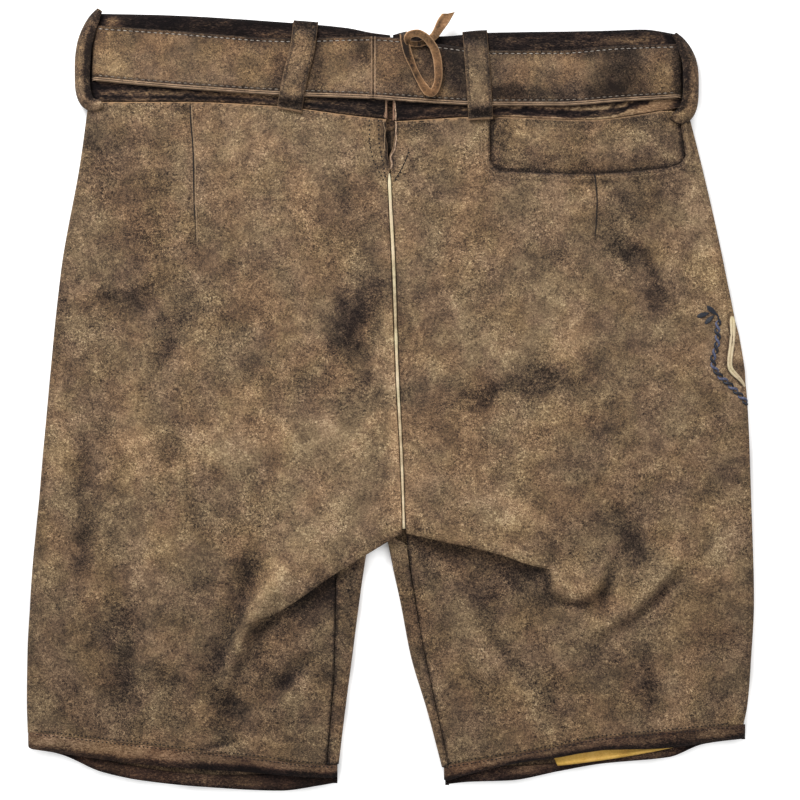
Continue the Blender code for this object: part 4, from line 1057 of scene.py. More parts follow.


# Clouds of the antique finish, darker or lighter than the rest, a few of them painted shadow
# below the seat's lip, as at (-52, -146): middle, half sizes, lean in degrees, and what each
# adds to the tone

clouds = table(
    "x y wide tall lean tone",
    (-205, 74, 17, 11, 20, -0.17), (-186, 86, 13, 9, 30, -0.13), (-160, 62, 9, 20, -25, -0.15),
    (-166, 38, 11, 8, 30, -0.12), (-25, 68, 26, 12, 54, -0.24), (-40, 50, 14, 12, 0, -0.14),
    (-26, 33, 9, 9, 0, -0.16), (-9, 46, 4, 22, -6, 0.12), (-68, 10, 9, 7, 20, -0.15),
    (-50, 20, 12, 8, 0, -0.07), (-105, 20, 10, 10, 0, -0.07), (68, 2, 17, 6, 5, -0.25),
    (108, 14, 32, 8, 5, -0.23), (150, 14, 14, 7, 0, -0.11), (22, 0, 12, 12, 0, -0.13),
    (46, -30, 10, 10, 0, -0.08), (160, -22, 10, 14, 0, -0.13), (134, -48, 10, 14, 0, -0.08),
    (172, 118, 16, 7, -35, -0.2), (192, 100, 14, 8, -45, -0.2), (204, 78, 7, 14, 10, -0.17),
    (182, 143, 10, 12, 0, -0.15), (206, 160, 16, 12, 0, -0.12), (120, 108, 12, 9, 0, -0.1),
    (236, 66, 8, 10, 0, -0.07), (165, 140, 18, 16, 0, -0.06), (252, -8, 9, 10, 30, -0.12),
    (-140, -66, 11, 10, 0, -0.08), (-148, -84, 8, 9, 0, -0.1), (-166, -36, 9, 9, 0, -0.1),
    (-232, -50, 6, 26, 0, -0.1), (-230, -100, 6, 22, 0, -0.1), (-200, -205, 11, 34, 5, -0.17),
    (-216, -172, 10, 12, 0, -0.13), (-190, -160, 20, 10, 0, -0.08),
    (-142, -136, 13, 12, 0, -0.12), (-104, -130, 12, 9, 30, -0.14),
    (-122, -238, 18, 12, 0, -0.15), (-160, -210, 12, 10, 0, -0.1), (-240, -215, 16, 14, 0, -0.06),
    (-225, -240, 20, 10, 0, -0.06), (-86, -215, 10, 10, 0, -0.1), (-52, -205, 8, 20, 0, -0.09),
    (-30, -180, 8, 26, 8, -0.06), (-32, 152, 13, 14, 0, -0.09), (-20, 128, 12, 12, 0, -0.08),
    (-50, 122, 14, 12, 0, -0.05), (-172, 160, 9, 24, 0, -0.08), (-150, 110, 8, 10, 0, -0.1),
    (-185, 122, 15, 18, 0, -0.14), (-226, 196, 9, 10, 0, -0.14), (-205, 190, 10, 12, 0, -0.1),
    (-214, 150, 10, 16, 0, -0.07), (-110, 60, 12, 14, 0, -0.06), (182, -106, 11, 16, 10, -0.17),
    (122, -112, 12, 10, 0, -0.1), (162, -88, 14, 9, 0, -0.08), (112, -74, 9, 8, 0, -0.07),
    (150, -196, 12, 12, 0, -0.12), (170, -215, 10, 18, 0, -0.1), (192, -208, 8, 24, 0, -0.16),
    (212, -62, 18, 9, 0, -0.07), (246, -186, 8, 14, 0, -0.12), (250, -60, 8, 20, 0, -0.06),
    (240, -225, 12, 14, 0, -0.06), (70, -235, 20, 14, 0, -0.06), (60, 130, 14, 10, 0, -0.04),
    (40, 60, 10, 18, 0, -0.04), (-112, 192, 26, 20, 0, 0.1), (-60, 166, 8, 12, 20, 0.12),
    (-90, 140, 24, 16, 0, 0.05), (-40, 190, 24, 16, 0, 0.06), (-192, -34, 12, 26, 0, 0.12),
    (-250, -25, 8, 42, 0, 0.11), (-128, -34, 24, 10, 0, 0.17), (-42, -24, 34, 8, 10, 0.12),
    (-115, -5, 16, 14, 20, 0.07), (-152, 38, 8, 14, -40, 0.09), (-64, 56, 12, 26, 0, 0.08),
    (-60, -75, 22, 14, 45, 0.08), (122, 66, 20, 20, 0, 0.12), (88, 40, 20, 8, 10, 0.11),
    (30, 20, 11, 8, 0, 0.12), (52, 56, 14, 12, 0, 0.06), (60, 194, 8, 12, 0, 0.11),
    (158, 158, 9, 8, 0, 0.12), (125, 148, 16, 8, 0, 0.1), (82, -80, 16, 12, -30, 0.1),
    (104, -92, 14, 10, -30, 0.1), (112, -15, 18, 12, 0, 0.05), (30, -50, 14, 14, 0, 0.06),
    (238, 118, 8, 34, -12, 0.11), (254, 55, 5, 18, -8, 0.15), (228, 150, 9, 20, -15, 0.12),
    (214, -112, 6, 12, -30, 0.1), (250, -112, 8, 20, 0, 0.07), (215, -200, 8, 26, 0, 0.07),
    (-180, -136, 14, 9, 0, 0.08), (-180, -105, 14, 9, 0, 0.07), (-165, -182, 16, 8, 0, 0.08),
    (-95, -258, 12, 8, 0, 0.04), (-208, 168, 16, 18, 0, -0.09), (-80, -145, 14, 8, 40, 0.06),
    (-250, 60, 6, 20, 0, -0.12), (-237, 20, 8, 20, 0, -0.1), (60, 42, 25, 13, 0, 0.06),
    (125, 44, 30, 10, 0, 0.06), (-50, -38, 38, 12, 5, 0.16), (120, -214, 10, 12, 0, -0.08),
    (86, -142, 16, 8, -20, -0.07), (-98, -202, 9, 14, 10, -0.12), (-114, -226, 10, 9, 0, -0.08),
    (-52, -146, 14, 7, 35, -0.12), (140, -136, 7, 6, 0, -0.08), (22, 203, 12, 8, 0, -0.14),
    (130, -222, 16, 12, 0, -0.1), (75, -212, 10, 8, 0, -0.12), (70, -150, 18, 8, -25, -0.12),
    (190, -76, 10, 10, 0, -0.1), (-178, -210, 12, 10, 0, -0.1), (-165, -108, 20, 12, 0, 0.07),
    (120, -52, 14, 10, 0, 0.07), (75, -86, 20, 8, -20, 0.07), (-30, 12, 10, 9, 0, -0.14),
)
shading = {"left": -0.015, "right": 0.005, "leg": -0.035, "legFrom": -120.0}


def wander(x, y, reach, seed):
    # A smooth seeded field that bends straight outlines
    draw = np.random.default_rng(seed)
    total = 0
    for _ in range(7):
        turn, wave = draw.uniform(0, 2 * math.pi), draw.uniform(14, 46)
        phase = draw.uniform(0, 2 * math.pi)
        total = total + np.sin((x * np.cos(turn) + y * np.sin(turn)) / wave * 2 * math.pi + phase)
    return reach * total / 7**0.5


def cloudsAt(x, y):
    bentX, bentY = x + wander(x, y, 4.5, 3), y + wander(x, y, 4.5, 4)
    tone = np.zeros(np.shape(x))
    for middleX, middleY, wide, tall, lean, shade in zip(*clouds.values()):
        cosine, sine = math.cos(math.radians(lean)), math.sin(math.radians(lean))
        along = ((bentX - middleX) * cosine + (bentY - middleY) * sine) / wide
        across = ((bentY - middleY) * cosine - (bentX - middleX) * sine) / tall
        tone += shade * np.exp(-0.6 * (along**2 + across**2) ** 1.3)  # flat, with soft edges
    return tone


def tonePatchesAt(x, y, patches):
    # Darker and lighter patches that keep their exact place, some of them painted shadow: middle,
    # half sizes and tone
    return sum(
        tone * np.exp(-(((x - middleX) / wide) ** 2) - ((y - middleY) / tall) ** 2)
        for middleX, middleY, wide, tall, tone in patches
    )


# Of these, (20, -98), (9, -118), (8, -116) and (-82, -205) are painted shadow under the seat's lip
panelPatchesAndShadows = (
    (149, 163.5, 5, 3, -0.3), (161.5, 163.5, 4.5, 3, -0.28), (154.8, 166, 0.9, 7, 0.15),
    (-157, 219, 6, 2.8, -0.3), (-100, 216, 36, 4, 0.06), (-27, 48, 10, 10, -0.1),
    (-36, -22, 24, 8, 0.07), (-128, -42, 20, 9, 0.08), (-162, -64, 18, 12, 0.08),
    (-236, -198, 12, 18, 0.05), (142, -195, 16, 14, 0.05), (20, -98, 7, 4, -0.16),
    (-100, -188, 6, 16, -0.1), (-76, -208, 12, 9, -0.07), (-124, -228, 12, 10, 0.07),
    (40, 214, 22, 3, -0.12), (14, 205, 9, 8, -0.08), (160, 146, 8, 6, 0.1),
    (-44, 48, 9, 10, 0.14), (-20, 57, 9, 12, -0.16), (-10, 76, 8, 12, -0.07),
    (262, 5, 8, 14, 0.2), (236, 50, 12, 26, 0.09), (224, 196, 6, 12, 0.08), (9, -118, 5, 8, -0.15),
    (-82, -205, 24, 18, -0.06), (88, -175, 8, 24, 0.06), (238, 116, 8, 14, -0.06),
    (-150, -150, 90, 60, 0.015), (-96, -164, 8, 12, 0.09), (105, -146, 16, 5, 0.08),
    (24, -185, 8, 16, 0.08), (84, -196, 8, 10, 0.06), (8, -116, 4, 7, -0.1),
    (-30, 178, 9, 9, -0.06),
)


def panelTone(x, y):
    # tone from the clouds, the creases' painted shade and highlight, and the listed patches
    tone = 0.5 + 1.1 * cloudsAt(x, y) + creasesAt(x, y)[1] + wander(x, y, 0.025, 9)
    tone += tonePatchesAt(x, y, panelPatchesAndShadows)
    tone += np.where(x < 0, shading["left"], shading["right"])
    return tone + shading["leg"] * ease((shading["legFrom"] - y) / 60)


# The two back panels

# In back, underLip and underReach set the painted shadow on the leg under the seat's lip
back = {
    "wall": leather,
    "seamDip": 0.5, "seamReach": 1.2, "seamTone": -0.07,
    "underLip": -0.34, "underReach": 20.0,
    "edgeLine": 0.7,
    "seamShare": {"left": 0.35, "right": 1},  # the left panel lies up against the piping
    "rawEdge": {"left": (0.3, 0.15), "right": (0.8, 0.4)},  # width and share at the slit
}
# Bands beside a seam, an edge or a fold: middle, half width and height of each. pocketTone
# and pocketFoot are painted shadow in the pocket's mouth with a painted highlight on its rim,
# and piping is painted shadow beside the side pocket's piping
backBands = {
    "inseamForm": ((0, 1.2, -0.5),),
    "inseamTone": ((0, 1.6, -0.24),),
    "pocketForm": ((0, 1.0, -0.6), (2.6, 1.6, 0.45), (5.2, 1.2, -0.3)),
    "pocketTone": ((0, 2.0, -0.2), (3.0, 1.2, 0.06), (5.4, 1.3, -0.12)),
    "pocketFoot": ((0, 2.0, -0.12),),
    "piping": ((0, 1.1, -0.3),),
    "legSeam": ((0, 1.6, -0.2),),
}


def spread(*runs):
    # Evenly spaced runs of steps: (from, to, steps)
    parts = [np.linspace(a, b, n, endpoint=False) for a, b, n in runs]
    return np.append(np.concatenate(parts), runs[-1][1])


lipRows = np.array(
    [374, 376, 378, 379.5, 380.7, 381.8, 382.7, 383.3, 383.8, 384.2, 384.5, 384.75, 385]
    + [385.2, 385.4, 385.7, 386, 386.4, 386.9, 387.4, 388, 388.8, 390]
)
backDown = np.concatenate(
    [spread((0, 0.9, 2), (0.9, 42, 19), (42, 372, 148)), lipRows, spread((392, 490, 46))]
)
lipRow = int(np.flatnonzero(backDown == lipAt)[0])
pocketRow = int(np.argmin(np.abs(backDown - 42)))
leftAcross = spread((0, 0.1, 5), (0.1, 1, 15), (1, 2, 26), (2, 3, 32), (3, 4, 32))
rightAcross = spread((0, 0.06, 4), (0.06, 1, 32), (1, 2, 33), (2, 3, 31), (3, 4, 22))
inseamColumn = int(np.argmin(np.abs(leftAcross - 1)))
pocketColumns = (
    int(np.argmin(np.abs(rightAcross - 1))),
    int(np.argmin(np.abs(rightAcross - 3))),
)
backRollSteps = 6


def roundPocketCorners(points):
    # Moves the points near the two foot corners of the pocket's cut onto an arc
    r = pocket["corner"]
    for column, inside in zip(pocketColumns, (1, -1)):
        corner = points[pocketRow, column].copy()
        centre = corner + np.array([inside * r, r, 0])
        upSide = [(row, column) for row in range(pocketRow)]
        alongFoot = [(pocketRow, c) for c in range(pocketColumns[0], pocketColumns[1] + 1)]
        for place in upSide + alongFoot:
            across, rise = np.abs(points[place] - corner)[:2] / r
            if across < 1 and rise < 1:
                angle = math.pi / 4 * (1 + across - rise)
                turned = np.array([-inside * math.cos(angle), -math.sin(angle), 0])
                points[place][:2] = (centre + r * turned)[:2]
    return points


def pocketOutline(inset=0.0, count=90):
    # The cut's edge: down its left side, along its foot and up its right side
    points = rightPoints
    left = points[1:pocketRow, pocketColumns[0]]
    foot = points[pocketRow, pocketColumns[0] : pocketColumns[1] + 1]
    right = points[1:pocketRow, pocketColumns[1]][::-1]
    line = np.vstack([left, foot, right])[:, :2]
    ahead = headings(line)
    return alongPath(line + inset * leftOf(ahead), count)


def dartsAt(x, y):
    # Pinched line of each dart, its small puckers and the dimple where it ends
    height, tone = np.zeros(np.shape(x)), np.zeros(np.shape(x))
    for line in darts.values():
        path = rowsOf(line)
        away = nearPath(x, y, path)
        top, foot = path[0, 1], path[-1, 1]
        share = np.clip((top - y) / (top - foot), 0, 1)
        inside = ease((y - foot + 3) / 6)
        pinch = bell(away / dart["width"]) * inside
        waves = np.sin(2 * math.pi * y / dart["puckerPitch"]) * bell(away / dart["puckerReach"])
        dimple = bell(np.hypot(x - path[-1, 0], y - foot) / dart["dimple"])
        height += (dart["pucker"] * waves + bands(away, dart["ridge"])) * inside
        height -= dart["depth"] * pinch * (1 - 0.4 * share) + dart["dimpleDepth"] * dimple
        tone -= dart["tone"] * pinch + dart["dimpleTone"] * dimple
    return height, tone


# How far the slit's two edges stand from the panels' seam line, by height
slit = {
    "left": table(
        "y shift", (214, 0.6), (205, 0.5), (198, -0.2), (190, 1.2), (184, 1.0), (178, 2.2),
        (173, 2.4), (167, 0.6), (160, 0),
    ),
    "right": table(
        "y shift", (214, -0.4), (209, 0), (206, 0.5), (202, 1.0), (198, 0.8), (193, 0.2),
        (189, -0.2), (186, -1.2), (183, -2.2), (179, -1.8), (175, -1.2), (168, -0.6), (160, 0),
    ),
    "spread": 6.0, "foot": 160,
}


def openSlit(points, side):
    y = points[..., 1]
    away = np.abs(points[..., 0] - points[:, :1, 0])
    shift = read(slit[side], "shift", y) * (y > slit["foot"])
    points[..., 0] += shift * bell(away / slit["spread"])
    return points


# The mouth of the side pocket
sidePocketLine = table(
    "y x", (65, 256.4), (62, 256.8), (55, 257.2), (47, 256.9), (38, 256), (30, 255), (25, 255),
    (21, 257.2), (16.5, 261.6), (12, 265.4), (8, 267.4),
)


# Lighter and darker stretches beside the centre seam
besideSeam = {
    "left": table(
        "y tone",
        (170, 0.04), (127, 0.06), (97, 0.02), (78, 0.06), (60, 0.2), (22, 0.22), (-15, 0.2),
        (-52, 0.16), (-96, 0.13),
    ),
    "right": table(
        "y tone",
        (170, 0.05), (157, 0.08), (127, 0.12), (97, 0.03), (60, -0.08), (22, -0.04),
        (-15, 0.02), (-52, 0.08), (-96, 0.12),
    ),
}


def finishBack(points, side):
    # Fine form and tone of a back panel's points, without its side roll
    x, y = points[..., 0], points[..., 1]
    rows = backDown[:, None] + 0 * x
    pinch, pinchTone = dartsAt(x, y)
    seam = np.abs(x - x[:, :1])
    cutEdge = ease((y - pipingTop) / 8)  # the slit's own edges, above the piping
    points = openSlit(points, side)
    seamShare = back["seamShare"][side]
    fine = pinch + 0.16 * wander(x, y, 1, 12)
    fine = fine - seamShare * back["seamDip"] * bell(seam / back["seamReach"])
    tone = panelTone(x, y) + pinchTone
    tone += seamShare * back["seamTone"] * bell(seam / 2.6) * (1 - cutEdge)
    tone += read(besideSeam[side], "tone", y) * bell(seam / 9) * ease((y + 105) / 10)
    # Painted shadow on the leg under the seat's lip, and a painted dark line along the lip's edge
    rise = np.append(read(lip[side], "rise", acrossOf[side]), np.zeros(backRollSteps + 1))
    rise = np.clip(rise / 3, 0, 1)
    below = rows - lipAt
    under = ease((below + 0.4) / 1.2) * bell(np.maximum(below - 1, 0) / back["underReach"])
    if side == "left":  # deepest beside the inner leg
        under = under * (0.75 + 0.7 * bell((x + 52) / 20))
    tone += back["underLip"] * under * rise
    tone += bands(below, (-0.5, 1.2, -0.1)) * rise + bands(rows, (0, 4, -0.1))
    torn = 0.45 + 0.35 * wander(5 * x, y, 1, 14)  # the raw top edge comes and goes
    raw = np.where(rows < back["edgeLine"] * (0.7 + torn), 0.75 * np.clip(torn + 0.4, 0, 1), 0.0)
    rawWidth, rawShare = back["rawEdge"][side]
    raw = np.maximum(raw, rawShare * ease((y - pipingTop - 4) / 6) * (seam < rawWidth) * (rows > 2))
    # painted shade along the slit's opening, above the piping
    tone += bands(seam, (rawWidth + 0.9, 0.9, -0.3), (0, 5, -0.16)) * cutEdge
    onLeg = ease((below - 3) / 4)
    if side == "left":
        inseam = np.abs(x - x[:, inseamColumn : inseamColumn + 1])
        fine += bands(inseam, *backBands["inseamForm"]) * onLeg
        tone += bands(inseam, *backBands["inseamTone"]) * onLeg
    else:
        mouth = nearPath(x, y, pocketEdge[::3])
        belowWaist = y < waistY
        fine += bands(mouth, *backBands["pocketForm"]) * belowWaist
        # painted shadow in the pocket's mouth, deepest along its foot, with a painted highlight on
        # its rim
        tone += bands(mouth, *backBands["pocketTone"]) * belowWaist
        tone += bands(mouth, *backBands["pocketFoot"]) * ease((182 - y) / 8) * belowWaist
        # painted shadow beside the side pocket's piping
        besidePiping = nearPath(x, y, rowsOf(sidePocketLine)[:, ::-1] - [2.4, 0])
        tone += bands(besidePiping, *backBands["piping"])
        tone += bands(seam, *backBands["legSeam"]) * onLeg
    body = slice(0, x.shape[1] - backRollSteps - 1)
    points[:, body, 2] += fine[:, body]
    # painted shade on the side roll, where the panel turns down
    tone[:, body.stop :] -= 0.05
    return points, np.clip(tone, 0.02, 0.98), raw


leftPoints = backPanelPoints(backLeft, "left", backDown, leftAcross, backRollSteps)
rightPoints = backPanelPoints(backRight, "right", backDown, rightAcross, backRollSteps)
rightPoints = roundPocketCorners(rightPoints)
acrossOf = {"left": leftAcross, "right": rightAcross}
pocketEdge = pocketOutline()


def makeBack():
    def underSeat(row, column):
        return row > lipRow and column < inseamColumn

    def pocketMouth(row, column):
        return row < pocketRow and pocketColumns[0] < column < pocketColumns[1]

    made = []
    for side, grid, cut in (
        ("left", leftPoints, underSeat), ("right", rightPoints, pocketMouth)
    ):
        points, tone, raw = finishBack(grid, side)
        made.append(panel(
            f"back_{side}", points, back["wall"], suede, upward, tone=tone, raw=raw,
            cut=cut,
        ))
    return made


backPanels = makeBack()
print("back panels")


# Hems: the lower edge of each

hemEdges = {
    "hem_back_left": table(
        "x bottom", (-272, -262), (-180, -274.5), (-105, -279.8), (-60, -283.5), (-39.5, -284)
    ),
    "hem_back_right": table(
        "x bottom", (267, -254), (240, -257.4), (202, -262), (162, -263), (149, -264.6),
        (124, -269), (98, -272.4), (60, -281), (40.5, -287),
    ),
    "hem_front_left": table(
        "x bottom", (-271.5, -261.5), (-247.5, -267), (-217.5, -280), (-187.5, -286.5),
        (-142.5, -291.3), (-82.5, -294.3), (-52.5, -290.3), (-39.5, -288),
    ),
    "hem_front_right": table(
        "x bottom", (267, -255), (236, -259), (210, -269), (157.5, -274), (127.5, -279.5),
        (90, -286.6), (60, -287.6), (41.5, -289.5),
    ),
}


def hemShade(side, x, y):
    # How deep a point of the front lies in the shade under the back hem
    edge = hemEdges[f"hem_back_{side}"]
    below = read(edge, "bottom", x) - y
    return bell(np.maximum(below - 1.0, 0) / 2.6) * (below > -12)


# The two front panels: on the table, round the sides and over the inner legs

# The front's slit value is painted shade inside the slit, where the back panels open over it
front = {
    "wall": leather, "rows": 150, "columns": 58, "roll": 5, "wrap": 14, "strip": 12,
    "tone": 0.47, "tip": (0, 2.0, -0.22), "strips": -0.05, "crotch": -0.07, "hem": -0.24,
    "slit": -0.46, "rough": 0.12,
}


def makeFront():
    made = []
    for side in frontSections:
        points = frontPanelPoints(side, np.linspace(0, 1, front["rows"]), front)
        x, y, z = np.moveaxis(points, 2, 0)
        tone = front["tone"] + 0.7 * cloudsAt(x + 9, y - 14) + wander(x, y, 0.03, 21)
        strip = ease((-118 - y) / 10) * (z > overLeg)  # what shows behind the inner leg
        tip = bands(x - x[:, -1:], front["tip"])
        # towards its top the strip gets painted shade, where it runs under the seat's lip
        tone += (tip + front["strips"] + front["crotch"] * ease((y + 170) / 30)) * strip
        tone += front["hem"] * hemShade(side, x, y) * (y < -240)
        inner = ease((y - 140) / 20) * bell(x / 26)
        tone += front["slit"] * inner * (0.45 + 0.55 * (x < 0.6))  # painted shade inside the slit
        points[..., 2] += np.where(z > overLeg, front["rough"] * wander(x, y, 1, 17), 0)
        made.append(panel(
            f"front_{side}", points, front["wall"], suede, downward,
            tone=np.clip(tone, 0.02, 1),
        ))
    return made


frontPanels = makeFront()


def makeFlap():
    # The drop flap that closes the front, with its sewn edge
    share = np.linspace(0, 1, 60)
    y = flap["top"] + (flap["foot"] - flap["top"]) * share
    y[0] += 1.2
    past = np.clip((share - flap["cornerFrom"]) / (1 - flap["cornerFrom"]), 0, 1)
    half = flapHalf(y) + flap["corner"] * (np.sqrt(1 - past**2) - 1)
    across = np.linspace(-1, 1, 61)
    x = flap["x"] + half[:, None] * across
    y = y[:, None] + 0 * x
    edge = np.minimum((1 - np.abs(across)) * half[:, None], y - flap["foot"])
    tone = flap["tone"] + 0.6 * cloudsAt(x - 30, y - 90) + bands(edge, flap["edge"])
    panel(
        "front_flap", np.dstack([x, y, bands(edge, flap["rim"])]), leather, suede, downward,
        tone=tone, raw=0.7 * (edge < 0.6),
    )


makeFlap()
print("front panels")


# Waistband

waistband = {
    "roll": 4.0, "frontTop": table("x top", (-221, 284), (3.7, 264), (215, 272)),
    # what differs from side to side: the side's X, the front's inner end, how far the ends at
    # the slit stand out below and above, and how the end behind the side loop is tucked in
    "left": {"sideX": -221.0, "frontX": 3.55, "foot": 1.9, "head": 4.2, "tuck": (280, 5.2)},
    "right": {"sideX": 215.0, "frontX": 3.85, "foot": -1.9, "head": -1.8, "tuck": (258, 5.6)},
}
# Lines along its foot: how far above the seam, half width and what each adds
waistLines = {
    "fold": (10.5, 1.6, -0.3), "stripEdge": (6.4, 0.8, 0.3), "seam": (1.2, 1.0, 0.16),
    "groove": (3.6, 1.2, -0.3), "ridge": (6.4, 1.6, 0.3),
}
waistTones = {
    "plain": 0.43, "tucked": 0.7, "top": -0.38, "low": -0.04, "strip": -0.06,
    "rightStrip": -0.2, "side": -0.4, "topLeft": (-128, 26, -0.22), "slit": (4, 40, -0.12),
    "stripRub": (160, 30, 0.1), "topRight": 0.1, "leftEnd": -0.06, "aboveBelt": -0.2,
    "aboveRight": 0.1,
}
waistPatches = (
    (-208, 284.5, 4, 4.5, 0.22), (-175, 278, 34, 8, -0.1), (-36, 274, 20, 8, 0.06),
    (185, 272, 22, 8, 0.08), (30, 219, 22, 8, 0.04), (110, 218, 30, 8, 0.1),
    (168, 222, 26, 9, 0.17), (30, 270, 30, 8, -0.05),
)
waistSeam = (waistTop + waistbandFront) / 2


def waistColumns(centre, sideX, count):
    out, fall = quarterTurn(6, rim=0.15)
    start = sideX - np.sign(sideX) * waistband["roll"]
    near = centre + np.sign(sideX) * np.array([0, 0.5, 1.0, 1.6, 2.2, 2.8])
    far = np.linspace(centre + np.sign(sideX) * 4, start, count - 6)
    x = np.concatenate([near, far, start + (sideX - start) * out])
    return x, np.concatenate([np.ones(count), fall])


def waistTone(x, y, toTop, toFoot):
    # Darker along the top, with a paler strip and a dark line below the belt, and painted shade
    # under the belt's edge and at the ends behind the side loops
    line, look = waistLines, waistTones
    ragged = toFoot + 0.8 * wander(4 * x, y, 1, 37)
    strip = ease((beltFoot - y) / 3)
    above = ease((y - beltHead) / 10)
    tone = look["plain"] + wander(x / 2.4, 1.3 * y, 0.07, 33) + look["top"] * bell(toTop / 3)
    tone += bands(ragged, line["fold"]) + look["low"] * ease((toTop - 12) / 20)
    # painted shade on the strip under the belt's lifted lower edge, deepest on the right
    tone += strip * (look["strip"] + look["rightStrip"] * ease((x - 60) / 30))
    tone += bands(ragged, line["stripEdge"]) * strip * ease((x - 20) / 30)
    tone = np.where(toFoot < 0, look["tucked"], tone)
    tone += bands(ragged, line["seam"], line["groove"])
    tone += bands(ragged, line["ridge"]) * ease((np.abs(x - 4) - 30) / 60)
    # painted shade at the ends, in the hollow behind the side loops
    tone += look["side"] * ease((np.abs(x + 3) - 208) / 5)
    tone += bands(x, look["topLeft"]) * bell(toTop / 9)
    tone += bands(x, look["slit"]) * (y < beltFoot) + bands(x, look["stripRub"]) * strip
    tone += look["topRight"] * above * ease((toTop - 4) / 5) * ease((x - 150) / 30)
    tone += look["leftEnd"] * above * ease((-x - 60) / 60) + tonePatchesAt(x, y, waistPatches)
    hidden = look["aboveBelt"] + look["aboveRight"] * ease((x - 140) / 20)
    tone += hidden * ease((206 + x) / 10) * (y > beltHead)
    return np.clip(tone, 0.02, 1)


def backWaistband(side, grid, edges):
    look = waistband[side]
    centre = edges["x"][np.argmin(np.abs(edges["x"]))]
    x, fall = waistColumns(centre, look["sideX"], 110)
    bottom = np.interp(x, *rowLine(grid[0, : -backRollSteps - 1])) + 1.5 * seamGap
    top = read(edges, "top", x)
    rise = spread((0, 0.05, 4), (0.05, 0.92, 26), (0.92, 1, 6))[:, None]
    y = bottom + (top - bottom) * rise
    x = x + 0 * y
    seam = waistSeam + seamGap / 2
    z = seam + (waistBase(x, y) - seam) * fall
    # the right panel's top climbs to the belt
    climb = 1.2 * ease((x - 60) / 40) + 8 * ease((x - 160) / 50)
    toTop, toFoot = top - y, y - bottom - climb
    z += bands(toTop, (0, 1.3, -1.1)) + bands(toFoot, (0, 1.0, -0.5)) + 0.18 * wander(x, y, 1, 31)
    tone = waistTone(x, y, toTop, toFoot)
    x += look["foot"] * bell((x - centre) / 6) * (y < beltFoot)
    x += look["head"] * bell((x - centre) / 7) * ease((y - 254) / 8)
    end = np.abs(x - x[:, :1])
    raw = 0.45 * (end < 1.4 + 0.5 * wander(x, 3 * y, 1, 39)) * (y < beltFoot)
    height, depth = look["tuck"]
    tuck = np.sign(look["sideX"]) * depth * ease((np.abs(x) - 197) / 12)
    x = x + tuck * ease((height - y) / 6)
    return panel(
        f"waistband_back_{side}", np.dstack([x, y, z]), leather, darkSuede, upward,
        tone=tone, raw=raw,
    )


def frontWaistband(side):
    look = waistband[side]
    x, fall = waistColumns(look["frontX"], look["sideX"], 60)
    bottom = np.interp(x, *frontPoints[side]) - 1.0
    top = read(waistband["frontTop"], "top", x)
    rise = np.linspace(0, 1, 20)[:, None]
    y = bottom + (top - bottom) * rise
    x = x + 0 * y
    z = flapLift + (waistbandFront - flapLift) * ease(rise / 0.12) + 0 * y
    seam = waistSeam - seamGap / 2
    return panel(
        f"waistband_front_{side}", np.dstack([x, y, seam + (z - seam) * fall]), leather,
        darkSuede, downward, tone=0.42 + wander(x, y, 0.06, 35),
    )


def makeWaistband():
    backs = (("left", leftPoints, waistbandLeft), ("right", rightPoints, waistbandRight))
    made = {f"waistband_back_{row[0]}": backWaistband(*row) for row in backs}
    made.update({f"waistband_front_{side}": frontWaistband(side) for side in frontSections})
    return made


def frontEdge(points, grid):
    # The part of a row that lies flat, without the roll and the wrapped end
    return points[grid["roll"] + 1 : -grid["wrap"] - grid["strip"]]


topGrid = {"columns": 30, "roll": 5, "wrap": 6, "strip": 2}
frontTops = {
    side: frontPanelPoints(side, np.array([0.0, 0.1]), topGrid)[0] for side in frontSections
}
frontPoints = {
    side: rowLine(frontEdge(points, topGrid)[:-1]) for side, points in frontTops.items()
}
waistbands = makeWaistband()
print("waistband")


# Belt and its buckle

beltBack = table(
    "x bottom top",
    (-224, 240, 281),
    (-159, 234, 276.5),
    (-75, 228.5, 271),
    (-13, 226, 272.5),
    (8, 224.5, 271),
    (38, 222.5, 266.5),
    (78, 221, 262),
    (126, 221, 262),
    (172, 224, 265.5),
    (219, 227, 267),
)
belt = {
    "wall": 2.4, "width": 42.0, "off": 0.5, "flare": 1.0, "seamX": -12.5,
    "front": table("x middle", (-224, 260.5), (3, 235.5), (219, 247)),
    "groove": 3.6, "grooveTop": 2.6, "sideX": {"left": -224.0, "right": 219.0},
}
# Bands along its lower edge, its upper edge and its seam: middle, half width and what is added
beltForm = {
    "low": ((0, 0.4, -0.6), (1.0, 0.25, -0.5), (belt["groove"], 0.6, -0.4)),
    "high": ((0, 0.7, -0.9), (belt["grooveTop"], 0.6, -0.35)),
    "seam": ((0, 0.7, -0.7),),
}
# beltTone paints shade in the stitch grooves, between the lower edge's layers and on the upper edge
beltTone = {
    "low": ((belt["groove"], 0.7, -0.22), (1.0, 0.3, -0.3), (2.7, 0.5, -0.3)),
    "high": ((belt["grooveTop"], 0.6, -0.24), (0, 1.0, -0.3), (0, 5, -0.1)),
}
buckle = {"x": 3.0, "half": 25.0, "height": 47.0, "wall": 2.4, "corner": 5.0, "rim": 0.4}


def beltTop(x, y, share):
    return waistBase(x, y) + belt["off"] + belt["wall"] + belt["flare"] * (1 - share)


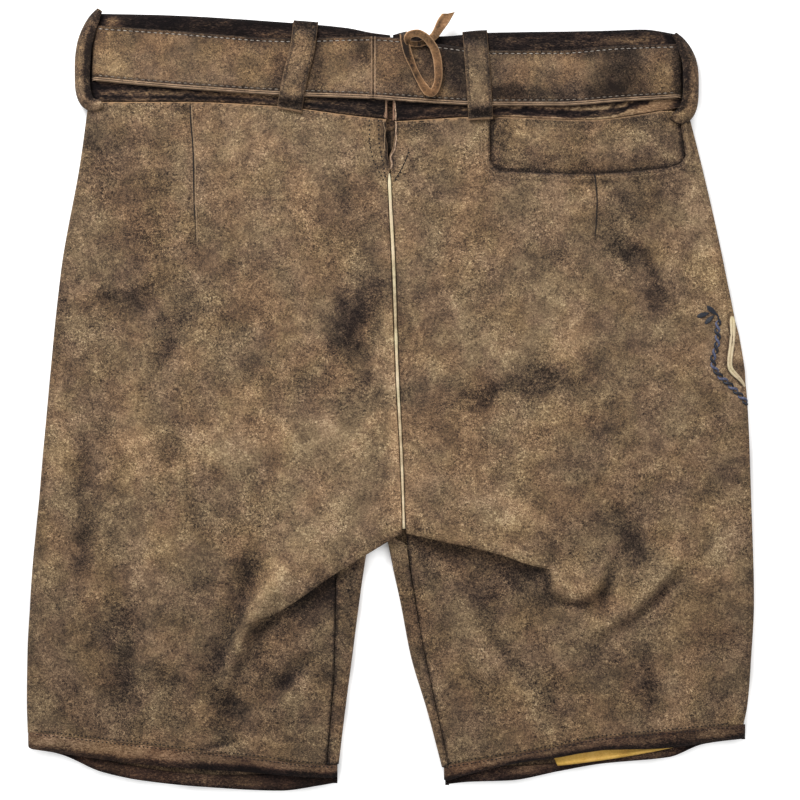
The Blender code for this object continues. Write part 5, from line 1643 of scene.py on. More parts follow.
# Darker and lighter spots on the belt, with painted shadow at its two ends beside the side
# loops: middle, half sizes and tone
beltClouds = (
    (-200, 268, 20, 6, -0.06), (-55, 250, 5, 30, -0.22), (-224, 258, 4, 40, -0.2),
    (-82, 246, 6, 22, -0.16), (217, 246, 5, 40, -0.5), (-68, 250, 14, 40, -0.08),
    (0, 250, 14, 14, -0.08), (10, 236, 10, 10, -0.12), (-18, 262, 8, 9, -0.22),
    (36, 256, 14, 14, -0.26), (52, 244, 10, 20, -0.26), (80, 244, 6, 24, -0.14),
    (84, 230, 30, 6, -0.24), (118, 228, 40, 7, -0.22), (172, 248, 15, 14, -0.34),
    (170, 232, 26, 7, -0.22), (196, 240, 12, 18, -0.1), (205, 262, 10, 8, -0.12),
    (-150, 254, 50, 10, 0.05), (-30, 244, 16, 8, 0.07), (122, 252, 26, 8, 0.06),
    (150, 260, 40, 4, -0.12), (-205, 246, 16, 8, 0.08), (-110, 262, 24, 8, -0.08),
    (-95, 236, 20, 5, -0.1), (205, 250, 8, 7, 0.08), (42, 250, 22, 20, -0.1),
    (100, 246, 22, 12, -0.03),
)


def beltEdges(x):
    return read(beltBack, "bottom", x), read(beltBack, "top", x)


def beltFace(x, y, low, high, seam):
    # What the outer face adds in height, its tone with painted shade in its grooves, and its bare
    # lower edge and ends
    form = bands(low, *beltForm["low"]) + bands(high, *beltForm["high"])
    form = form + bands(seam, *beltForm["seam"])
    form = form + 0.2 * wander(x, y, 1, 41) + 0.1 * wander(2 * x, 2 * y, 1, 43)
    ray, turned = np.hypot(x - 8, y - 226), np.arctan2(y - 222, x - 8)
    form = form + 0.35 * np.sin(9 * turned) * bell((ray - 12) / 9)  # puckers at the slit
    tone = 0.42 + wander(x, y, 0.05, 45) + tonePatchesAt(x, y, beltClouds)
    tone = tone + bands(low, *beltTone["low"]) + bands(high, *beltTone["high"])
    raw = 0.98 * np.exp(-((low / 0.65) ** 4)) + bands(low, (1.7, 0.3, 0.6)) + 0 * x
    raw = np.maximum(raw, bands(seam, (1.0, 0.3, 0.5)))
    return form, np.clip(tone, 0.03, 1), raw * (0.8 + 0.2 * wander(3 * x, 3 * y, 1, 47))


def makeBelt():
    # Two straps from the seam at the back, round the sides to the buckle in front
    made = []
    rows = np.concatenate([
        [0, 0.25, 0.5, 0.7, 0.9, 1.15, 1.4, 1.7, 2.2, 2.7, 3.1, 3.4, 3.7, 4.1, 4.6, 5.4],
        np.linspace(7, 36, 20), [37.6, 38.4, 38.9, 39.3, 39.7, 40.2, 40.8, 41.2, 41.6, 42],
    ])
    share = (rows / belt["width"])[:, None]
    low, high = rows[:, None], belt["width"] - rows[:, None]
    radius = (waistTop + belt["off"] + belt["wall"]) / 2
    turn = np.linspace(0, math.pi, 21)[1:-1]
    for side, sideX in belt["sideX"].items():
        out = np.sign(sideX)
        seamX = belt["seamX"] + out * seamGap / 2
        foldX = sideX - out * radius
        endX = buckle["x"] + out * (buckle["half"] + seamGap)
        nearSeam = seamX + out * np.array([0, 0.3, 0.7, 1.2, 1.8, 2.6, 3.6])
        backX = np.append(nearSeam, np.linspace(seamX + out * 5, foldX, 96))
        frontX = np.linspace(foldX, endX, 40)
        bottom, top = beltEdges(backX)
        yBack = bottom + (top - bottom) * share
        zBack = beltTop(backX + 0 * yBack, yBack, share)
        yFront = read(belt["front"], "middle", frontX) + belt["width"] * (share - 0.5)
        xSide = foldX + out * radius * np.sin(turn)
        ySide = yBack[:, -1:] + (yFront[:, :1] - yBack[:, -1:]) * turn / math.pi
        zSide = zBack[:, -1:] * (1 + np.cos(turn)) / 2
        x = np.concatenate([backX, xSide, frontX]) + 0 * share
        y = np.hstack([yBack, ySide, yFront])
        z = np.hstack([zBack, zSide, 0 * yFront])
        onBack = np.concatenate([0 * backX + 1, 0.5 + 0.5 * np.cos(turn), 0 * frontX])
        form, tone, raw = beltFace(x, y, low, high, np.abs(x - seamX))
        made.append(panel(
            f"belt_{side}", np.dstack([x, y, z + form * onBack]), belt["wall"], beltSuede,
            (out, 0, 0.001), tone=tone, raw=np.clip(raw * onBack, 0, 1),
            held="folded",
        ))
    return made


beltParts = makeBelt()


def makeBuckle():
    y = float(read(belt["front"], "middle", buckle["x"]))
    bm = bmesh.new()
    bmesh.ops.create_cube(bm, size=1)
    size = (2 * buckle["half"], buckle["height"], buckle["wall"])
    bmesh.ops.scale(bm, vec=[s * mm for s in size], verts=bm.verts)
    upright = [e for e in bm.edges if abs(e.verts[0].co.z - e.verts[1].co.z) > 0.5 * mm]
    for edges, offset, segments in ((upright, buckle["corner"], 8), (None, buckle["rim"], 2)):
        bmesh.ops.bevel(
            bm, geom=edges or bm.edges[:], offset=offset * mm, segments=segments, profile=0.5,
            affect="EDGES", material=-1,
        )
    place = (buckle["x"] * mm, y * mm, buckle["wall"] / 2 * mm)
    bmesh.ops.translate(bm, vec=place, verts=bm.verts)
    bmesh.ops.recalc_face_normals(bm, faces=bm.faces[:])
    made = joinScene("belt_buckle", meshOf("belt_buckle", bm), brass)
    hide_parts("belt_buckle")


makeBuckle()
print("belt and buckle")


# Belt loops

# In loop, headTone and leanTone are painted shade, and hidden is painted shade on a side loop's
# curl
loop = {
    "wall": 1.6, "width": 18.5, "middle": 5.6, "turn": (-40, 108), "stitchIn": 2.0, "off": 0.4,
    "tone": 0.5, "headTone": -0.56, "footTone": -0.42, "leanTone": -0.14, "hidden": -0.4,
}
# Bands across a back loop from its edges, and across a side loop
loopForm = {"back": ((0, 0.9, -0.7), (loop["stitchIn"], 0.6, -0.3)), "side": ((1, 0.05, -0.8),)}
loopTone = {
    "back": ((0, 1.2, -0.2), (loop["stitchIn"], 0.7, -0.16)),
    "side": ((0.68, 0.06, 0.08), (0, 0.16, -0.26)),
}
backLoops = {
    "loop_back_left": table("x y", (-63, 285.5), (-65, 266), (-70.5, 243), (-75.5, 217)),
    "loop_back_right": table("x y", (63.5, 277.5), (65, 256), (66.5, 236), (68, 210)),
}
sideLoops = {
    "loop_side_left": (-1, table(
        "x y half high lift tone",
        (-217, 293.5, 2.2, 5.2, 0, 0.0), (-221, 287.4, 4.3, 6.2, 0, 0.08),
        (-225.6, 277, 5.9, 7.6, 0, 0.26), (-228.9, 266.6, 6.3, 7.9, 0, 0.37),
        (-230.3, 255, 6.4, 7.9, 0, 0.4), (-230.7, 242.3, 6.1, 7.9, 0, 0.39),
        (-230.2, 233, 6.2, 7.6, 0, 0.38), (-228.2, 225.6, 5.8, 6.4, 1.5, 0.36),
        (-224, 221.2, 5, 5, 3.4, 0.62), (-218.6, 220.8, 3.9, 4.2, 4.6, 0.84),
        (-214.6, 223.2, 2.2, 4, 5, 0.7),
    )),
    "loop_side_right": (1, table(
        "x y half high lift tone",
        (212.5, 275, 2.2, 5.2, 0, 0.02), (217.4, 269.4, 3.8, 6.2, 0, 0.06),
        (221.3, 262, 5.3, 7.6, 0, 0.16), (224.3, 254, 5.9, 7.9, 0, 0.27),
        (225.6, 244.5, 6.2, 7.9, 0, 0.36), (225.6, 234.8, 6.3, 7.9, 0, 0.36),
        (225.2, 226, 6.4, 7.4, 0.6, 0.4), (223.6, 218.6, 6.5, 6, 2.2, 0.42),
        (219.6, 213.2, 6.5, 4.8, 4, 0.42), (214.4, 211.6, 5, 4.2, 5, 0.36),
        (209.9, 213.6, 2.2, 4, 5.2, 0.2),
    )),
}


def makeBackLoops():
    made = {}
    for name, line in backLoops.items():
        path = alongPath(rowsOf(line), 74)
        waist = waistbandLeft if path[0, 0] < 0 else waistbandRight
        across = np.linspace(-1, 1, 25) * loop["width"] / 2
        x = path[:, :1] + across
        lean = (path[-1, 0] - path[0, 0]) / (path[-1, 1] - path[0, 1])
        y = path[:, 1:] - across * lean
        bottom, top = beltEdges(x)
        base = waistBase(x, y) + seamGap + loop["wall"]
        share = np.clip((y - bottom) / (top - bottom), 0, 1)
        overBelt = beltTop(x, y, share) + loop["off"] + loop["wall"]
        onBelt = ease((top + 8 - y) / 7) * ease((y - bottom + 9) / 7)
        z = base + (overBelt - base) * onBelt
        edge = loop["width"] / 2 - np.abs(across)
        z = z + bands(edge, *loopForm["back"]) + 0.22 * np.cos(across / loop["width"] * math.pi)
        # the upper end turns down over the top of the waistband
        ends = read(waist, "top", x[:1]) + loop["off"] + loop["wall"]
        turned = np.dstack([x[:1], ends, base[:1] - loop["wall"] - 0.9])
        corner = np.dstack([x[:1], ends - 0.5, base[:1] - 0.6])
        body = np.dstack([x, np.minimum(y, ends - 1.8), z])
        points = np.vstack([turned, corner, body])
        run = np.linspace(0, 1, len(points))[:, None]
        foot = ease((run - 0.8) / 0.1) * (0.3 + 0.7 * ease((edge - 1.5) / 3))
        # painted shade on the end that turns down over the waistband and along one side of the
        # strap
        tone = loop["tone"] + loop["headTone"] * ease(1 - run / 0.32) + loop["footTone"] * foot
        tone = tone + loop["leanTone"] * ease(across / 9) + bands(edge, *loopTone["back"])
        tone = tone + wander(points[..., 0], points[..., 1], 0.05, 51)
        made[name] = panel(
            name, points, loop["wall"], suede, upward, tone=np.clip(tone, 0.03, 1),
            raw=0.3 * (edge < 0.3) + 0.45 * (run > 0.985),
        )
    return made


def makeSideLoops():
    # Each runs down its bowed middle line, a strap that curls down on its outer side
    made = {}
    start, end = np.radians(loop["turn"])
    share = np.linspace(0, 1, 29)
    for name, (out, line) in sideLoops.items():
        path = smoothed(alongPath(rowsOf(line), 90), 4)
        half, high, lift, shade = (path[:, k : k + 1] for k in (2, 3, 4, 5))
        outward = out * leftOf(headings(path[:, :2]))
        turn = start + lift * 0.2 + (end - start - lift * 0.2) * share
        across = 2 * (np.cos(turn) - math.cos(end)) / (1 - math.cos(end)) - 1
        place = path[:, None, :2] + outward[:, None] * (half * across)[..., None]
        x, y = place[..., 0], place[..., 1]
        z = loop["middle"] + 0.5 * lift + high * np.sin(turn) + bands(share, *loopForm["side"])
        # painted shade on the part of the strap that curls in towards the belt
        tone = shade + loop["hidden"] * ease((share - 0.76) / 0.1) + wander(x, y, 0.06, 53)
        tone = tone + bands(share, *loopTone["side"])
        made[name] = panel(
            name, np.dstack([x, y, z]), loop["wall"], suede, (out, 0, 0.3),
            tone=np.clip(tone, 0.02, 1), held="folded",
        )
    return made


loops = {**makeBackLoops(), **makeSideLoops()}
print("belt loops")


# Pockets and piping

backPocket = {"margin": 4.0, "wall": 1.4, "bulge": 2.1}
pocketPatches = (
    (172, 191, 26, 8, 0.1), (104, 198, 24, 10, 0.2), (140, 184, 30, 6, -0.07),
    (205, 196, 12, 14, -0.02), (84, 196, 6, 18, -0.16), (150, 211, 70, 3, -0.16),
    (120, 207, 20, 5, -0.1), (190, 204, 16, 5, -0.1), (100, 184, 14, 6, -0.08),
)


def makeBackPocket():
    # The pocket behind the right panel's mouth, full enough to stand out in it
    margin = backPocket["margin"]
    across = np.linspace(0, 1, 96)
    rise = np.linspace(0, 1, 34)[:, None]
    left = pocket["left"] - margin
    right = pocket["right"] + (pocket["rightTop"] - pocket["right"]) * rise + 1.0
    x = left + (right - left) * across
    grid = rightPoints[:, : -backRollSteps - 1]
    foot = np.interp(x, *rowLine(grid[pocketRow, ::4])) - margin
    top = np.minimum(np.interp(x, *rowLine(grid[0])) - seamGap / 2, pocket["top"])
    y = foot + (top - foot) * rise
    under = backBase(x, y) - leather - seamGap - 0.1
    inset = np.minimum(np.minimum(x - left - margin, right - 1 - x), y - foot - margin) - 1.5
    z = under + backPocket["bulge"] * ease(inset / 9) + 0.12 * wander(x, y, 1, 61) * ease(inset / 6)
    tone = 0.44 + wander(x, y, 0.06, 63) + tonePatchesAt(x, y, pocketPatches)
    tone += bands(np.maximum(inset + 1, 0), (0, 2.6, -0.42))  # in the shade of the mouth
    return panel(
        "back_pocket", np.dstack([x, y, z]), backPocket["wall"], suede, upward,
        tone=np.clip(tone, 0.03, 1), raw=0.5 * (top - y < 0.9),
    )


def sideXRight(y):
    return curve(backRight["sideY"], backRight["sideX"], y)


def makeSidePocket():
    # The patch in the side pocket's mouth: under the back, round the side and along the front
    y = np.linspace(sidePocketLine["y"][0] - 0.4, sidePocketLine["y"][-1] + 0.6, 60)[:, None]
    side = sideXRight(y)
    edgeIn = np.maximum(side - read(sidePocketLine, "x", y) - 1.2, 1.2)
    full = seamGap + sidePocket["wall"] + 0.15
    swell = ease((y[0] - y - 2) / 16) * ease((y - y[-1]) / 16)
    off = (full + 0.6) * swell - 0.6
    turn = np.linspace(0, math.pi / 2, 9)
    seamZ = sideSeamHeight(side, y)
    innerX = side - backRoll
    topZ = backBase(innerX, y) + foldsAt(innerX, y) + off
    flat = np.maximum(edgeIn - backRoll, 0.6)
    xFlat = innerX - flat * np.array([1.0, 0.8, 0.6, 0.4, 0.2])
    xRoll = innerX + (backRoll + 0.3 * off) * np.sin(turn)
    zRoll = seamZ + (topZ - seamZ) * (rollRim + (1 - rollRim) * np.cos(turn))
    xUnder = side - frontRoll + (frontRoll + 0.3 * off) * np.cos(turn[1:])
    zUnder = seamZ * (1 - np.sin(turn[1:]))
    reach = sidePocket["reach"] * (0.35 + 0.65 * edgeIn / edgeIn.max())
    xFront = side - frontRoll - np.linspace(0, 1, 12)[1:] * reach
    x = np.hstack([xFlat, xRoll, xUnder, xFront])
    y = y + 0 * x
    z = np.hstack([topZ + 0 * xFlat, zRoll, zUnder, 0 * xFront])
    # painted shade along its inner edge, in the pocket's mouth
    tone = 0.56 + wander(x, y, 0.05, 65) + bands(x - x[:, :1], (0, 1.2, -0.3))
    return panel(
        "side_pocket", np.dstack([x, y, z]), sidePocket["wall"], suede, (1, 0, 0.001),
        tone=tone, held="folded",
    )


def makeSidePiping():
    # Two rounds of pale leather along the pocket's mouth, thinner towards their ends
    path = smoothed(alongPath(rowsOf(sidePocketLine)[:, ::-1], 80), 3)[3:-3]
    x, y = path.T
    height = backBase(x, y) + foldsAt(x, y) + seamGap + 0.9
    height -= 0.5 * np.maximum(x - sideXRight(y) + backRoll, 0) ** 2 / backRoll
    step = np.arange(len(path))
    taper = 0.86 * np.minimum(1.1, 0.5 + step / 6) * np.minimum(1, 0.35 + step[::-1] / 26)
    beside = np.column_stack([leftOf(headings(path)), 0 * x]) * taper[:, None]
    path = np.column_stack([path, height])
    made = strand(
        "side_pocket_piping", [path + beside, path - beside], 1.2 * taper, paleLeather,
    )
    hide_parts("side_pocket_piping")


piping = {
    "tone": 0.56, "edges": -0.35, "handled": ((60, 26, -0.25), (-20, 30, -0.15)), "crown": 0.4,
    "sink": -0.3,
}


def makeCentrePiping():
    # The strip of pale leather sewn into the centre back seam
    down = np.linspace(45.4, 382, 230)
    seam = np.array([0.0])
    left, right = (sectionPoints(side, down, seam) for side in (backLeft, backRight))
    x, y = (left[0] + right[0]) / 2, (left[1] + right[1]) / 2
    share = read(lipFold, "share", down)[:, None]
    z = backBase(x, y) + foldsAt(x, y) + creasesAt(x, y)[0] + share * lip["left"]["rise"][0] + 0.1
    half = (right[0] - left[0]) / 2 - seamGap
    half = half * (1 + 0.05 * wander(x, y, 1, 71)) * (0.3 + 0.48 * ease((down[:, None] - 45) / 9))
    across = np.linspace(-1, 1, 9)
    crown = piping["crown"] * (1 - across**2) + piping["sink"]
    points = np.dstack([x + half * across, y + 0 * across, z + crown])
    tone = piping["tone"] + wander(x, y, 0.1, 73) + piping["edges"] * np.abs(across) ** 6
    tone = tone + bands(y, *piping["handled"])
    return panel(
        "centre_piping", points, leather, paleLeather, upward, tone=tone,
        held=None,
    )


makeBackPocket()
makeSidePocket()
makeSidePiping()
makeCentrePiping()
print("pockets and piping")


# Hems

# Back hems: painted shade on the part that rolls under, and a painted highlight on the crest
hem = {
    "wall": 2.8, "top": 7.4, "roll": 4.2, "columns": 110,
    "crown": table("share rise", (0, -1.2), (0.1, -0.1), (0.4, 0.35), (0.75, -0.1), (1, -2.2)),
    "fade": {"left": (0.64, -240, 150), "right": (0.5, 70, 100)},  # tone, and where it darkens
    "fadeTone": -0.16, "lower": -0.34, "lowerShadeInward": -0.14, "innerEnd": -0.06,
    "crest": (0.4, 0.2, 0.08), "corner": 2.6, "tuck": 0.8,
}
frontHemTone = {
    "plain": 0.28, "light": 0.14, "edge": (0, 2.4, -0.26), "shade": -0.18, "leftEnd": -0.06,
    "patches": {"left": (-140, 36, 0.1), "right": (100, 18, 0.3)}, "bead": (0, 1.4, 0.9),
}


def hemColumns(sideX, innerX, count):
    out, fall = quarterTurn(6, rim=0.15)
    inward = np.sign(innerX - sideX) * hem["roll"]
    start, end = sideX + inward, innerX - inward
    x = [(start - inward * out)[::-1], np.linspace(start, end, count), end + inward * out]
    return np.concatenate(x), np.concatenate([fall[::-1], np.ones(count), fall])


def backHem(side):
    name = f"hem_back_{side}"
    edges = hemEdges[name]
    seam = hem["top"] / 2 + seamGap
    x, fall = hemColumns(edges["x"][0], edges["x"][-1], hem["columns"])
    top = np.interp(x, *rowLine(footLine[side])) + hem["tuck"]  # under the panel
    bottom = read(edges, "bottom", x) + hem["corner"] * (1 - fall)
    share = spread((0, 0.2, 5), (0.2, 0.8, 9), (0.8, 1, 7))[:, None]
    y = top + (bottom - top) * share
    x = x + 0 * y
    crown = read(hem["crown"], "rise", share) + 0.2 * wander(x, y, 1, 81)
    z = seam + (hem["top"] + crown - seam) * fall
    start, fadeX, fadeRun = hem["fade"][side]
    tone = start + hem["fadeTone"] * ease((x - fadeX) / fadeRun) + wander(x, y, 0.06, 83)
    # painted shade on the rolled lower part, reaching higher towards the inner end on the left
    shadeInward = ease((x + 210) / 130) * (side == "left")
    lower = ease((share - 0.55 + 0.13 * shadeInward) / 0.32)
    tone = tone + (hem["lower"] + hem["lowerShadeInward"] * shadeInward) * lower
    tone = tone + bands(share, hem["crest"])
    tone = tone + hem["innerEnd"] * ease(1 - np.abs(x - x[:, -1:]) / 14)
    return panel(
        name, np.dstack([x, y, z]), hem["wall"], hemSuede, upward,
        tone=np.clip(tone, 0.03, 1),
    )


def frontHem(side):
    name = f"hem_front_{side}"
    edges = hemEdges[name]
    x, fall = hemColumns(edges["x"][0], edges["x"][-1], hem["columns"])
    bottom = read(edges, "bottom", x)
    top = np.interp(x, *rowLine(frontFoot[side])) - 0.4 * seamGap
    y = bottom + (top - bottom) * np.linspace(0, 1, 18)[:, None]
    x = x + 0 * y
    near = y - bottom
    look = frontHemTone
    z = (hem["top"] / 2 - seamGap) * (1 - fall) + bands(near, look["bead"])
    light = ease((x - 120) / 50) if side == "right" else ease((-150 - x) / 60)
    tone = look["plain"] + look["light"] * light + wander(x, y, 0.07, 85)
    tone = tone + bands(near, look["edge"]) + look["shade"] * hemShade(side, x, y)
    if side == "left":
        tone = tone + bands(x, look["patches"][side]) + look["leftEnd"] * ease((x + 100) / 20)
    else:
        tone = tone + bands(x, look["patches"][side]) * ease((near - 3) / 3)
    return panel(
        name, np.dstack([x, y, z]), hem["wall"], hemSuede, downward,
        tone=np.clip(tone, 0.03, 1),
    )


facing = {"wall": 0.9, "from": 125, "to": 215, "height": 16, "lean": 0.45, "overHem": 1.3}


def makeFacing():
    # The pale facing inside the right hem, where the back hem lets it show
    x = np.linspace(facing["from"], facing["to"], 60)
    bottom = np.interp(x, *rowLine(frontFoot["right"])) + seamGap
    rise = np.append([-2.2, -0.9, -0.3], np.linspace(0.4, facing["height"], 12))[:, None]
    y = bottom + rise
    x = x - facing["lean"] * rise * ease((facing["from"] + 25 - x) / 20)
    overHem = facing["overHem"] * ease((0.8 - rise) / 1.2)
    z = leather + seamGap + facing["wall"] + overHem + 0.1 * wander(x, y, 1, 91)
    panel(
        "hem_facing_right", np.dstack([x, y, z]), facing["wall"], yellowFacing, upward,
        tone=0.5 + wander(x, y, 0.1, 93),
    )


footGrid = {**front, "columns": 40}
frontFeet = {
    side: frontPanelPoints(side, np.array([0.9, 1.0]), footGrid)[-1] for side in frontSections
}
frontFoot = {side: frontEdge(feet, footGrid) for side, feet in frontFeet.items()}
footLine = {
    side: np.vstack([points[-1, start : -backRollSteps - 1], frontFeet[side][-front["strip"] :]])
    for side, points, start in (("left", leftPoints, inseamColumn), ("right", rightPoints, 0))
}
hems = [make(side) for make in (backHem, frontHem) for side in frontSections]
makeFacing()
print("hems")


# Stitching and embroidery, laid on what lies under them

# Pitch of each kind of stitch, its length, width and height, and how far it is lifted
stitchLooks = {
    "belt": (4.6, 3.2, 0.72, 0.28, 0.12),
    "loop": (2.6, 1.7, 0.6, 0.25, 0.05),
    "panel": (2.7, 1.5, 0.5, 0.2, 0.0),
    "pocket": (3.2, 2.4, 0.6, 0.25, 0.0),
    "hole": (3.3, 1.6, 1.4, 0.3, 0.02),
    "hem": (3.1, 1.7, 1.05, 0.3, 0.02),
}


def beltLine(low, fromX, toX):
    x = np.linspace(fromX, toX, 60)
    bottom, top = beltEdges(x)
    return np.column_stack([x, bottom + (top - bottom) * low / belt["width"]])


def sewBelt():
    find = topFinder(*beltParts)
    for name, low, finish in (
        ("belt_stitches_low", belt["groove"], dullThread),
        ("belt_stitches_high", belt["width"] - belt["grooveTop"], paleThread),
    ):
        runs = [beltLine(low, -219, belt["seamX"] - 2), beltLine(low, belt["seamX"] + 2, 213)]
        stitches(name, runs, stitchLooks["belt"], finish, find)
    besideIt = belt["seamX"] + 2.6
    seam = [beltLine(low, besideIt, besideIt + 0.1)[0] for low in (belt["width"] - 3, 4)]
    stitches("belt_seam_stitches", [np.array(seam)], stitchLooks["loop"], brownThread, find)


def sewLoops():
    find = topFinder(*loops.values())
    runs = []
    for line in backLoops.values():
        path = alongPath(rowsOf(line), 30)[2:]
        for side in (-1, 1):
            runs.append(path + [side * (loop["width"] / 2 - loop["stitchIn"]), 0])
        runs.append(np.array([path[-1] + [-7, 2.2], path[-1] + [7, 2.2]]))
    stitches("loop_stitches", runs, stitchLooks["loop"], brownThread, find)


# Rows of empty needle holes beside the slit
seatHoles = (
    ((-15.5, 211), (-15.3, 195), (-13, 181)),
    ((-8.5, 211), (-8.3, 195), (-6, 181)),
    ((-13, 181), (-9, 173), (-4.5, 164)),
    ((-6, 181), (-4.6, 174), (-3.4, 166)),
    ((15, 187), (11, 179), (7, 169), (3.5, 164)),
)


def sewPanels():
    find = topFinder(*backPanels)
    runs = [
        points[0, 2 : -backRollSteps - 1, :2] - [0, 2.1] for points in (leftPoints, rightPoints)
    ]
    stitches("panel_stitches", runs, stitchLooks["panel"], paleEdge, find)
    runs = [pocketOutline(inset=-3.4), pocketOutline(inset=-6.4)[:26]]
    stitches("pocket_stitches", runs, stitchLooks["pocket"], paleEdge, find)
    holes = [np.array(run) for run in seatHoles]
    stitches("seat_needle_holes", holes, stitchLooks["hole"], needleHole, find)
    share = np.linspace(0, 1, 160)
    width = 0.5 * (1 - share**6) + 0.12
    seams = []
    for line in darts.values():
        path = alongPath(rowsOf(line), len(share))
        path[:, 0] += 0.25 * np.sin(path[:, 1] / 9)
        seams.append(np.array([(x, y, find(x, y)[0] - 0.15) for x, y in path if find(x, y)]))
    for number, seam in enumerate(seams):
        strand(f"dart_seam_{number}", [seam], width[: len(seam)], needleHole, sides=6)
    ridge = [(x + 1.3, y, find(x + 1.3, y)[0] - 0.1) for x, y, _ in seams[0]]
    strand("dart_fold", [np.array(ridge)], 0.38, paleEdge, sides=6)


slitEdges = {
    "right": [
        (2.8, 226), (3.8, 221), (4.4, 215), (4.6, 207), (4.6, 200), (4.3, 193), (3.5, 188),
        (1.6, 184.5), (1.0, 180), (1.2, 176), (0.4, 172), (-0.4, 168), (-1.2, 164.5),
    ],
    "left": [
        (-3.6, 226), (-3, 218), (-3.9, 212), (-4.3, 206), (-3.7, 199), (-4.2, 192), (-3.7, 187),
    ],
    "crease": [(14.6, 191), (13.6, 185), (11, 178), (7.4, 171), (4.6, 166.6), (2.2, 163)],
}


def edgeSlit():
    # Raw edges of the slit and the crease that runs to its foot
    find = topFinder(*backPanels, *waistbands.values())

    def laid(edge, count, lift):
        path = alongPath(slitEdges[edge], count)
        path[:, 0] += 0.22 * wander(4 * path[:, 0], 4 * path[:, 1], 1, 95)
        return np.array([(x, y, find(x, y)[0] + lift) for x, y in path if find(x, y)])

    right, left = laid("right", 120, -0.1), laid("left", 90, -0.2)
    strand("slit_edge_right", [right], np.linspace(0.5, 0.64, len(right)), rawEdge, sides=6)
    strand("slit_edge_left", [left], 0.34, paleEdge, sides=6)
    crease = laid("crease", 60, -0.12)
    width = 0.42 - 0.3 * np.linspace(-1, 1, len(crease)) ** 2
    strand("seat_crease", [crease], width, needleHole, sides=6)


def sewHems():
    find = topFinder(*backPanels, *frontPanels, *hems)
    runs = []
    for line in footLine.values():
        x, y = rowLine(line)
        for above in (2.0, -0.8):
            runs.append(np.column_stack([x[::3], y[::3] + above]))
    stitches("hem_needle_holes", runs, stitchLooks["hem"], needleHole, find)


# Three leaves and a two-strand rope round the side pocket, in raised satin stitch
leaves = (
    ((245.2, 63.8), (237.8, 70.6), 1.7),
    ((239.5, 65.4), (230.4, 62.4), 1.7),
    ((243, 63.2), (236.4, 57.2), 1.6),
)
ropeRoute = table(
    "x y",
    (246.8, 60), (245.5, 52.5), (246, 47), (244.5, 38), (242.3, 30), (243, 24.8),
    (245.2, 21), (249, 16.5), (253.5, 12.8), (257.2, 9), (261, 5.2), (265.4, 0.8),
    (268, -3.4),
)
rope = {"twist": 10.5, "reach": 1.55, "thick": 1.08, "steps": 300}
stem = {"path": [(246.8, 60), (246, 63), (244.8, 65)], "thick": 0.6, "steps": 20}
satinLanes = (-0.72, -0.24, 0.24, 0.72)  # rows of satin stitch across a leaf


def ropeRoutes(onPanel):
    # Two strands wound round each other, over and under by turns
    path = alongPath(rowsOf(ropeRoute), rope["steps"])
    beside = leftOf(headings(path))
    run = np.linspace(0, lengthOf(path), rope["steps"]) / rope["twist"] * 2 * math.pi
    for phase in (0, math.pi):
        wave = np.cos(run + phase)
        place = path + beside * (rope["reach"] * np.sin(run + phase))[:, None]
        yield onPanel(place, 0.2 + 0.5 * wave), rope["thick"] * (0.75 + 0.25 * wave)


def leafRoutes(onPanel):
    place = alongPath(stem["path"], stem["steps"])
    yield onPanel(place, 0.3), np.full(len(place), stem["thick"])
    share = np.linspace(0, 1, 30)
    shape = np.sin(math.pi * share) ** 0.7 * (0.75 + 0.5 * share)
    for base, tip, half in leaves:
        line = alongPath([base, tip], len(share))
        beside = leftOf(unit(np.array([np.subtract(tip, base)])))
        for lane in satinLanes:
            place = line + beside * (lane * half * shape)[:, None]
            yield onPanel(place, 0.35 * (1 - lane**2)), 0.12 + 0.5 * shape


def embroider():
    find = topFinder(*backPanels)

    def onPanel(place, lift):
        found = [find(x, y) for x, y in place]
        height = np.array([hit[0] if hit else 4.0 for hit in found])
        return np.column_stack([place, height + lift])

    first, second = ropeRoutes(onPanel)
    for name, cords, finish in (
        ("embroidery", [first, *leafRoutes(onPanel)], blueThread),
        ("embroidery_grey", [second], greyThread),
    ):
        bm = bmesh.new()
        for k, (route, width) in enumerate(cords):
            part = strand(f"{name}_{k}", [route], width, finish, sides=6)
            bm.from_mesh(part.data)
            bpy.data.objects.remove(part, do_unlink=True)
        mesh = meshOf(name, bm)
        mesh.shade_smooth()
        joinScene(name, mesh, finish)


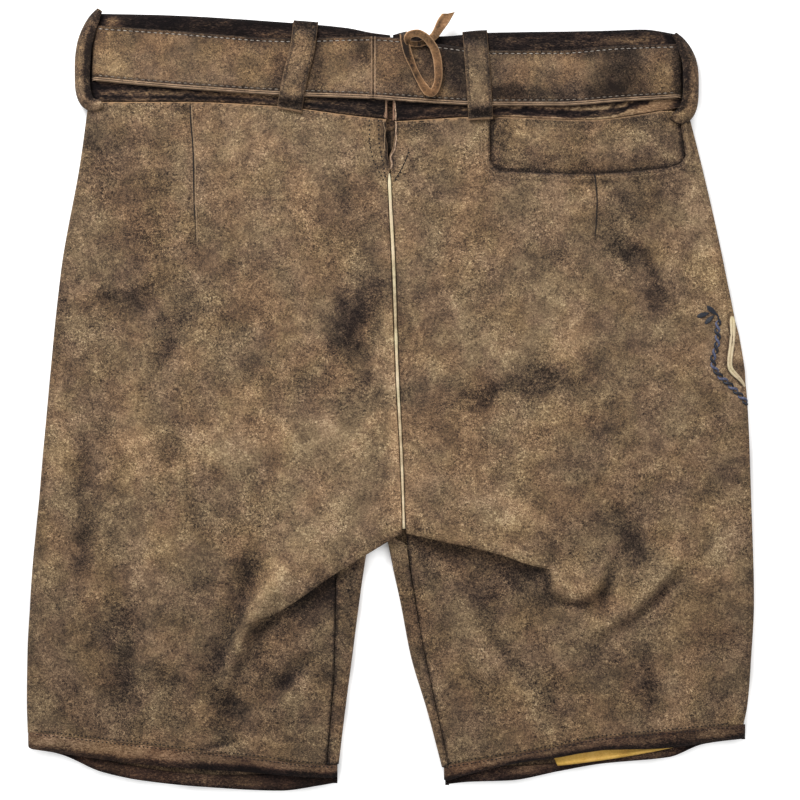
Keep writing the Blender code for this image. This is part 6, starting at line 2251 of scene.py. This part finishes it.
sewBelt()
sewLoops()
sewPanels()
edgeSlit()
sewHems()
embroider()
print("stitching and embroidery")


# Floor


def makeFloor():
    # White and faintly luminous where it lies open, as a backdrop lit on its own: painted light
    # that washes out the shadows the garment casts round itself
    cells, half = floor["cells"], floor["half"]
    bm = bmesh.new()
    bmesh.ops.create_grid(bm, x_segments=cells, y_segments=cells, size=half)
    bmesh.ops.translate(bm, vec=(0, 0, floor["z"]), verts=bm.verts)
    mesh = meshOf("floor", bm)
    find = topFinder(*backPanels, *frontPanels, *waistbands.values(), *loops.values(), *hems)
    covered = np.array([find(v.co.x / mm, v.co.y / mm) is not None for v in mesh.vertices])
    place = np.array([v.co[:2] for v in mesh.vertices])
    column, row = np.rint((place / half + 1) / 2 * cells).astype(int).T
    taken = np.zeros((cells + 1, cells + 1))
    taken[column, row] = covered
    for _ in range(3):  # a soft rim, so that the light fades in
        for axis in (0, 1):
            taken = (np.roll(taken, 1, axis) + 2 * taken + np.roll(taken, -1, axis)) / 4
    taken = np.clip(2 * taken - 0.5, 0, 1)
    for v in mesh.vertices:  # the rim runs out to a wide plain border
        if max(abs(v.co.x), abs(v.co.y)) > 0.999 * half:
            v.co = (floor["reach"] * v.co.x, floor["reach"] * v.co.y, v.co.z)
    setMark(mesh, "open", 1 - taken[column, row])
    finish, tree, shader = newFinish("pale_floor")
    # painted glow of the open floor, kept off the floor under the garment
    clear = addNode(tree, "Attribute", (-500, -300), attribute_name="open")
    glow = mathNode(tree, "MULTIPLY", (-300, -300), clear.outputs["Fac"], floor["glow"])
    looks = {
        "Base Color": (*floor["tone"], 1), "Roughness": 0.9, "Emission Color": (1, 1, 1, 1),
        "Emission Strength": glow,
    }
    for socket, look in looks.items():
        feed(tree, shader.inputs[socket], look)
    mesh.materials.append(finish)
    made = bpy.data.objects.new("floor", mesh)
    bpy.context.scene.collection.objects.link(made)
    made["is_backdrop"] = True


makeFloor()

boxes = {"cad": cadBox, "visual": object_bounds()}
{name: [[float(v) for v in corner] for corner in box] for name, box in boxes.items()}
